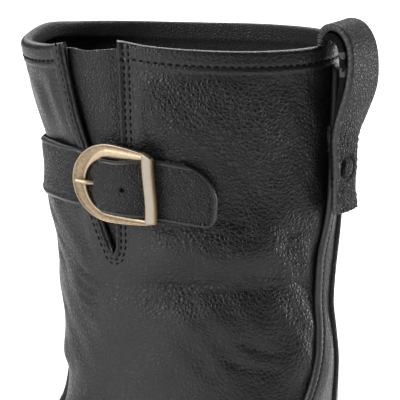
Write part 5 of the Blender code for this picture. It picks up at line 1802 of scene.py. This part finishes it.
def spine_line(outset):
    """The middle between the sole's two edges, from the heel to the toe: its u and how far out it lies."""
    angle = np.linspace(math.pi - 0.02, 0.02, 200)
    middle = (sole_outline(angle, outset) + sole_outline(-angle, outset)) / 2
    return middle[:, 0], middle[:, 1]


def welt():
    return outward(loft("welt_strip", sole_rings(WELT_ROWS), WELT_LEATHER, ends="joined"))


def outsole():
    return outward(loft("outsole_plate", sole_rings(OUTSOLE_ROWS), RUBBER, ends="drawn"))


def insole():
    low, high = INSOLE_LEVELS
    inset = -INSOLE_INSET
    cut_in, cut_down = INSOLE_ROUND
    rows = [
        SoleRow(inset, high, 1.0),
        SoleRow(inset, high, 0.2),
        SoleRow(inset - cut_in, high),
        SoleRow(inset, high - cut_down),
        SoleRow(inset, low),
        SoleRow(inset, low, 1.0),
    ]
    return outward(loft("insole_board", sole_rings(rows), LINING, ends="drawn"))


def lug_matrices():
    """Tread bars in pairs across the forepart, swept back to the edges and level where they stand."""
    angles = np.linspace(0.05, math.pi - 0.05, 400)
    for index in range(LUG_COUNT):
        u = LUG_FIRST_U + index * LUG_PITCH
        slope = 2 * TOE_SPRING_RISE * max(u - TOE_SPRING_START, 0.0) / TOE_SPRING_RUN**2
        for side in (1.0, -1.0):
            edge = sole_outline(side * angles, WELT_WIDTH)
            near, far = LUG_SPINE / 2, side * np.interp(-u, -edge[:, 0], edge[:, 1]) - LUG_EDGE_MARGIN
            if far - near < LUG_LENGTH:
                continue
            height = LUG_HEIGHT + LUG_SUNK
            foot = float(feather(u)) - FEATHER_AT_BALL + slope * LUG_REACH
            turn = Matrix.Rotation(math.atan(slope), 4, "Y")
            turn = turn @ Matrix.Rotation(-side * math.radians(LUG_SWEEP_DEG), 4, "Z")
            size = Matrix.Diagonal((LUG_LENGTH * MM, (far - near) * MM, height * MM, 1.0))
            yield Matrix.Translation(to_world([u, side * (near + far) / 2, foot + height / 2])) @ turn @ size


def tread_bars():
    """All the tread bars in one mesh, with their edges rounded."""
    built = bmesh.new()
    for matrix in lug_matrices():
        cube = bmesh.ops.create_cube(built, size=1.0, matrix=matrix)
        edges = {edge for vert in cube["verts"] for edge in vert.link_edges}
        round_off = {"offset": LUG_BEVEL * MM, "segments": 2, "profile": 0.6, "affect": "EDGES"}
        bmesh.ops.bevel(built, geom=list(edges), **round_off)
    mesh = bpy.data.meshes.new("tread_bars")
    built.to_mesh(mesh)
    built.free()
    mesh.materials.append(RUBBER)
    return placed("tread_bars", mesh)


def heel_layer(name, top, foot, share_top, share_foot, pitch, material):
    """A slice of the heel block: the back of the sole's outline with a straight breast."""
    angles = np.linspace(0.0, 2 * math.pi, 260, endpoint=False)
    plan = sole_outline(angles, WELT_WIDTH - HEEL_INSET)
    kept = plan[plan[:, 0] < HEEL_BREAST_U]
    breast = np.linspace(kept[-1], kept[0], 14)[1:-1]
    ring = np.concatenate([kept, breast])
    centre = np.array([HEEL_MIDDLE_U, 0.0])
    heights, inset = [], []
    for edge in np.append(np.arange(foot, top - pitch / 2, pitch), top):
        for step, turn_in in LAYER_GROOVE:
            heights.append(edge + step)
            inset.append(turn_in)
    heights, inset = np.array(heights), np.array(inset)
    inside = (heights >= foot) & (heights <= top)
    heights, inset = heights[inside], inset[inside]
    share = share_foot + (share_top - share_foot) * (heights - foot) / (top - foot) - inset
    rings = []
    for height, size in zip(heights, share):
        points = centre + (ring - centre) * size
        rings.append(to_world(np.column_stack([points, np.full(len(points), height)])))
    return outward(loft(name, np.stack(rings), material))


def heel():
    """The stacked heel and its top piece."""
    seat = FEATHER_AT_HEEL - OUTSOLE_DROP - OUTSOLE_THICKNESS - HEEL_GAP
    at_lift = HEEL_TAPER + (1 - HEEL_TAPER) * HEEL_LIFT_HEIGHT / seat
    top = HEEL_LIFT_HEIGHT
    block = heel_layer("heel_stack", seat, top + HEEL_GAP, 1.0, at_lift, LAYER_PITCH, HEEL_STACK)
    lift = heel_layer("heel_top_piece", top, 0.0, at_lift, HEEL_TAPER, top, RUBBER)
    return block, lift


# Stitches

Seam = namedtuple("Seam", "pitch length thickness lines")
BEAD_SIDES = 8
BEAD_RINGS = 5
THREAD_SEAT = 0.1  # how far a thread's middle is over the shaft's leather, and on the welt under the feather
COUNTER_SEAM_FOOT = 0.3  # in sections, as the next three
COUNTER_SEAM_SHORT = 0.6
VAMP_SEAM_FOOT = 0.1
VAMP_SEAM_TOP = 9.3
WELT_SEAM_OUT = 3.0
SLIT_SEAM_OVER = 0.5  # how far over the collar's plane the seam behind the slit begins
SLIT_SEAM_UNDER = 1.0  # how far under that plane the seam before the slit ends


def stitch_tree():
    """Geometry nodes: a row of thread beads along each line of a mesh."""
    tree = bpy.data.node_groups.new("stitch_row", "GeometryNodeTree")
    tree.interface.new_socket("Seam", in_out="INPUT", socket_type="NodeSocketGeometry")
    for name in ("Pitch", "Length", "Thickness"):
        tree.interface.new_socket(name, in_out="INPUT", socket_type="NodeSocketFloat")
    tree.interface.new_socket("Stitches", in_out="OUTPUT", socket_type="NodeSocketGeometry")
    given, made = tree.nodes.new("NodeGroupInput"), tree.nodes.new("NodeGroupOutput")
    curve = tree.nodes.new("GeometryNodeMeshToCurve")
    spaced = tree.nodes.new("GeometryNodeResampleCurve")
    spaced.mode = "LENGTH"
    bead = tree.nodes.new("GeometryNodeMeshUVSphere")
    bead.inputs["Segments"].default_value = BEAD_SIDES
    bead.inputs["Rings"].default_value = BEAD_RINGS
    bead.inputs["Radius"].default_value = 0.5
    run = tree.nodes.new("GeometryNodeInputTangent")
    turn = tree.nodes.new("FunctionNodeAlignRotationToVector")
    turn.axis = "X"
    size = tree.nodes.new("ShaderNodeCombineXYZ")
    placed = tree.nodes.new("GeometryNodeInstanceOnPoints")
    real = tree.nodes.new("GeometryNodeRealizeInstances")
    finish = tree.nodes.new("GeometryNodeSetMaterial")
    finish.inputs["Material"].default_value = THREAD
    link = tree.links.new
    link(given.outputs["Seam"], curve.inputs["Mesh"])
    link(curve.outputs["Curve"], spaced.inputs["Curve"])
    link(given.outputs["Pitch"], spaced.inputs["Length"])
    link(spaced.outputs["Curve"], placed.inputs["Points"])
    link(bead.outputs["Mesh"], placed.inputs["Instance"])
    link(run.outputs["Tangent"], turn.inputs["Vector"])
    link(turn.outputs["Rotation"], placed.inputs["Rotation"])
    link(given.outputs["Length"], size.inputs["X"])
    link(given.outputs["Thickness"], size.inputs["Y"])
    link(given.outputs["Thickness"], size.inputs["Z"])
    link(size.outputs["Vector"], placed.inputs["Scale"])
    link(placed.outputs["Instances"], real.inputs["Geometry"])
    link(real.outputs["Geometry"], finish.inputs["Geometry"])
    link(finish.outputs["Geometry"], made.inputs["Stitches"])
    return tree


def stitches(name, seam, tree):
    """A plain mesh of thread beads along a seam's lines."""
    verts, edges = [], []
    for line in seam.lines:
        first = len(verts)
        verts += [tuple(point) for point in line]
        edges += [(i, i + 1) for i in range(first, len(verts) - 1)]
    mesh = bpy.data.meshes.new(name + "_line")
    mesh.from_pydata(verts, edges, [])
    line = placed(name + "_line", mesh)
    modifier = line.modifiers.new("stitches", "NODES")
    modifier.node_group = tree
    sizes = {"Pitch": seam.pitch, "Length": seam.length, "Thickness": seam.thickness}
    for socket in tree.interface.items_tree:
        if socket.name in sizes:
            modifier[socket.identifier] = sizes[socket.name] * MM
    graph = bpy.context.evaluated_depsgraph_get()
    made = bpy.data.meshes.new_from_object(line.evaluated_get(graph))
    bpy.data.objects.remove(line)
    made.shade_smooth()
    return placed(name, made)


def shaft_line(angle, height, offset):
    """World points on the shaft's leather, over its relief by an offset."""
    relief, _ = shaft_relief(angle, height)
    rise = rim_lift(angle) * smoothstep((height - COLLAR_HEIGHT) / RIM_DEPTH + 1)
    return on_upper(shaft_section(height - rise), angle, relief + offset)


def collar_seam():
    """The seam under the collar, from one side of the slit round to the other."""
    front, back = slit_edges(COLLAR_HEIGHT)
    inset = math.radians(SLIT_BAND / GIRTH_PER_DEGREE)
    angle = np.linspace(back + inset, front + 2 * math.pi - inset, 700)
    return shaft_line(angle, COLLAR_HEIGHT + rim_lift(angle) - COLLAR_SEAM_DEPTH, THREAD_SEAT)


def slit_seam(inset, front_top):
    """A seam down behind the slit, round its foot and up before it."""
    down = np.linspace(COLLAR_HEIGHT + SLIT_SEAM_OVER, SLIT_FOOT_HEIGHT, 120)
    up = np.linspace(SLIT_FOOT_HEIGHT, front_top, 120)
    off = inset / GIRTH_PER_DEGREE
    behind = np.degrees(slit_edges(down)[1]) + off
    before = np.degrees(slit_edges(up)[0]) - off
    turn = np.linspace(0.0, math.pi, 30)[1:-1]
    foot = SLIT[0].front_deg + off * np.cos(turn)
    degrees = np.concatenate([behind, foot, before])
    height = np.concatenate([down, SLIT_FOOT_HEIGHT - inset * np.sin(turn), up])
    return shaft_line(np.radians(degrees), height, THREAD_SEAT)


def between(sections, low, high):
    return sections[(sections > low) & (sections < high)]


def all_seams():
    """Each row of stitches: its pitch, the length and thickness of a stitch, and its lines."""
    counter_top = COUNTER_TOP_SECTION - COUNTER_SEAM_SHORT
    counter_rows = between(COUNTER_SECTIONS, COUNTER_SEAM_FOOT, counter_top)
    counter_level = counter_profile(COUNTER_SEAM_AT, counter_rows)
    counter_lines = [
        seam_line(counter_rows, math.pi, COUNTER_EDGE, side, COUNTER_SEAM_AT, counter_level)
        for side in (-1, 1)
    ]
    vamp_rows = between(VAMP_SECTIONS, VAMP_SEAM_FOOT, VAMP_SEAM_TOP)
    vamp_lines = [
        seam_line(vamp_rows, 0.0, VAMP_EDGE, side, inset, VAMP_HEIGHT)
        for side in (-1, 1)
        for inset in VAMP_SEAMS
    ]
    turn = np.linspace(0.0, 2 * math.pi, 900)
    plan = sole_outline(turn + SOLE_CROWDING * np.sin(2 * turn), WELT_SEAM_OUT)
    welt_line = to_world(np.column_stack([plan, feather(plan[:, 0]) - THREAD_SEAT]))
    seam_tops = (COLLAR_HEIGHT - SLIT_SEAM_UNDER, SECOND_SEAM_TOP)
    slit_lines = [slit_seam(inset, top) for inset, top in zip(SLIT_SEAMS, seam_tops)]
    return {
        "collar_stitches": Seam(3.0, 1.9, 0.8, [collar_seam()]),
        "slit_stitches": Seam(2.8, 1.9, 0.8, slit_lines),
        "counter_stitches": Seam(2.4, 1.7, 0.6, counter_lines),
        "vamp_stitches": Seam(2.6, 1.9, 0.7, vamp_lines),
        "welt_stitches": Seam(5.0, 3.8, 1.0, [welt_line]),
    }


# The whole boot

def boot():
    dress(upper(), "upper_leather", "upper")
    dress(back_stay(), "upper_leather", "counter")
    dress(vamp(), "upper_leather", "vamp")
    dress(back_piping(), "upper_leather", "back_piping")
    dress(gusset(), "upper_leather", "gusset")
    dress(strap(), "upper_leather", "strap")
    dress(chape(), "upper_leather", "chape")
    dress(buckle_frame(), "buckle_brass", "buckle_frame")
    dress(flat_bar(), "buckle_brass")
    dress(centre_bar(), "buckle_brass")
    dress(prong(), "buckle_brass", "prong")
    outer_ply, inner_ply = pull_loop()
    dress(outer_ply, "upper_leather", "pull_loop")
    dress(inner_ply, "upper_leather")
    dress(welt(), "edge_leather", "welt")
    dress(outsole(), "sole_rubber", "outsole")
    dress(tread_bars(), "sole_rubber")
    dress(insole(), "lining_leather", "insole")
    block, lift = heel()
    dress(block, "edge_leather", "heel")
    dress(lift, "sole_rubber", "heel_lift")
    tree = stitch_tree()
    for name, seam in all_seams().items():
        dress(stitches(name, seam, tree), "upper_leather")


boot()


# Camera, floor and light, in metres
CAMERA_AZIMUTH = 24.0
CAMERA_ELEVATION = 10.0
CAMERA_DISTANCE = 1.5
CAMERA_TARGET = (0.0730, 0.0, 0.1956)
VIEW_SPAN = 0.160
SENSOR_WIDTH = 36.0
FLOOR_HALF = 12.0
FLOOR_WHITE = (0.93, 0.93, 0.93)
SKY_STRENGTH = 0.10
Lamp = namedtuple("Lamp", "name place target size power")
LAMPS = [
    Lamp("back_light", (-0.5, 1.6, 1.5), (-0.5, 1.5, 0.0), (2.8, 2.2), 90.0),
    Lamp("key_light", (-0.69, -0.98, 0.78), (0.06, 0.0, 0.2), (0.55, 1.1), 14.5),
    Lamp("right_light", (1.10, 0.99, 0.19), (0.12, 0.0, 0.16), (0.8, 0.36), 17.0),
    Lamp("floor_light", (-0.07, -0.64, 0.30), (-0.07, -0.64, 0.0), (0.4, 0.25), 1.2),
]


def camera():
    turn, tilt = math.radians(CAMERA_AZIMUTH), math.radians(CAMERA_ELEVATION)
    back = Vector((math.sin(turn) * math.cos(tilt), -math.cos(turn) * math.cos(tilt), math.sin(tilt)))
    lens = bpy.data.cameras.new("camera")
    lens.sensor_width = SENSOR_WIDTH
    lens.lens = SENSOR_WIDTH * CAMERA_DISTANCE / VIEW_SPAN
    eye = placed("camera", lens)
    eye.location = Vector(CAMERA_TARGET) + back * CAMERA_DISTANCE
    eye.rotation_mode = "QUATERNION"
    eye.rotation_quaternion = (-back).to_track_quat("-Z", "Y")
    bpy.context.scene.camera = eye


def area_light(name, place, target, size, power):
    lamp = bpy.data.lights.new(name, "AREA")
    lamp.shape = "RECTANGLE"
    lamp.size, lamp.size_y = size
    lamp.energy = power
    thing = placed(name, lamp)
    thing.location = place
    thing.rotation_mode = "QUATERNION"
    thing.rotation_quaternion = (Vector(target) - Vector(place)).to_track_quat("-Z", "Y")
    thing.visible_camera = False


def floor():
    half = FLOOR_HALF
    corners = [(-half, -half, 0.0), (half, -half, 0.0), (half, half, 0.0), (-half, half, 0.0)]
    mesh = bpy.data.meshes.new("floor")
    mesh.from_pydata(corners, [], [(0, 1, 2, 3)])
    material, _ = shader_of("white_floor", FLOOR_WHITE, 0.9, specular=0.1)
    mesh.materials.append(material)
    thing = placed("floor", mesh)


def studio():
    world = bpy.data.worlds.new("studio")
    world.use_nodes = True
    sky = world.node_tree.nodes["Background"]
    sky.inputs["Color"].default_value = (1.0, 1.0, 1.0, 1.0)
    sky.inputs["Strength"].default_value = SKY_STRENGTH
    bpy.context.scene.world = world
    bpy.context.scene.view_settings.view_transform = "Standard"
    for lamp in LAMPS:
        area_light(*lamp)


camera()
floor()
studio()
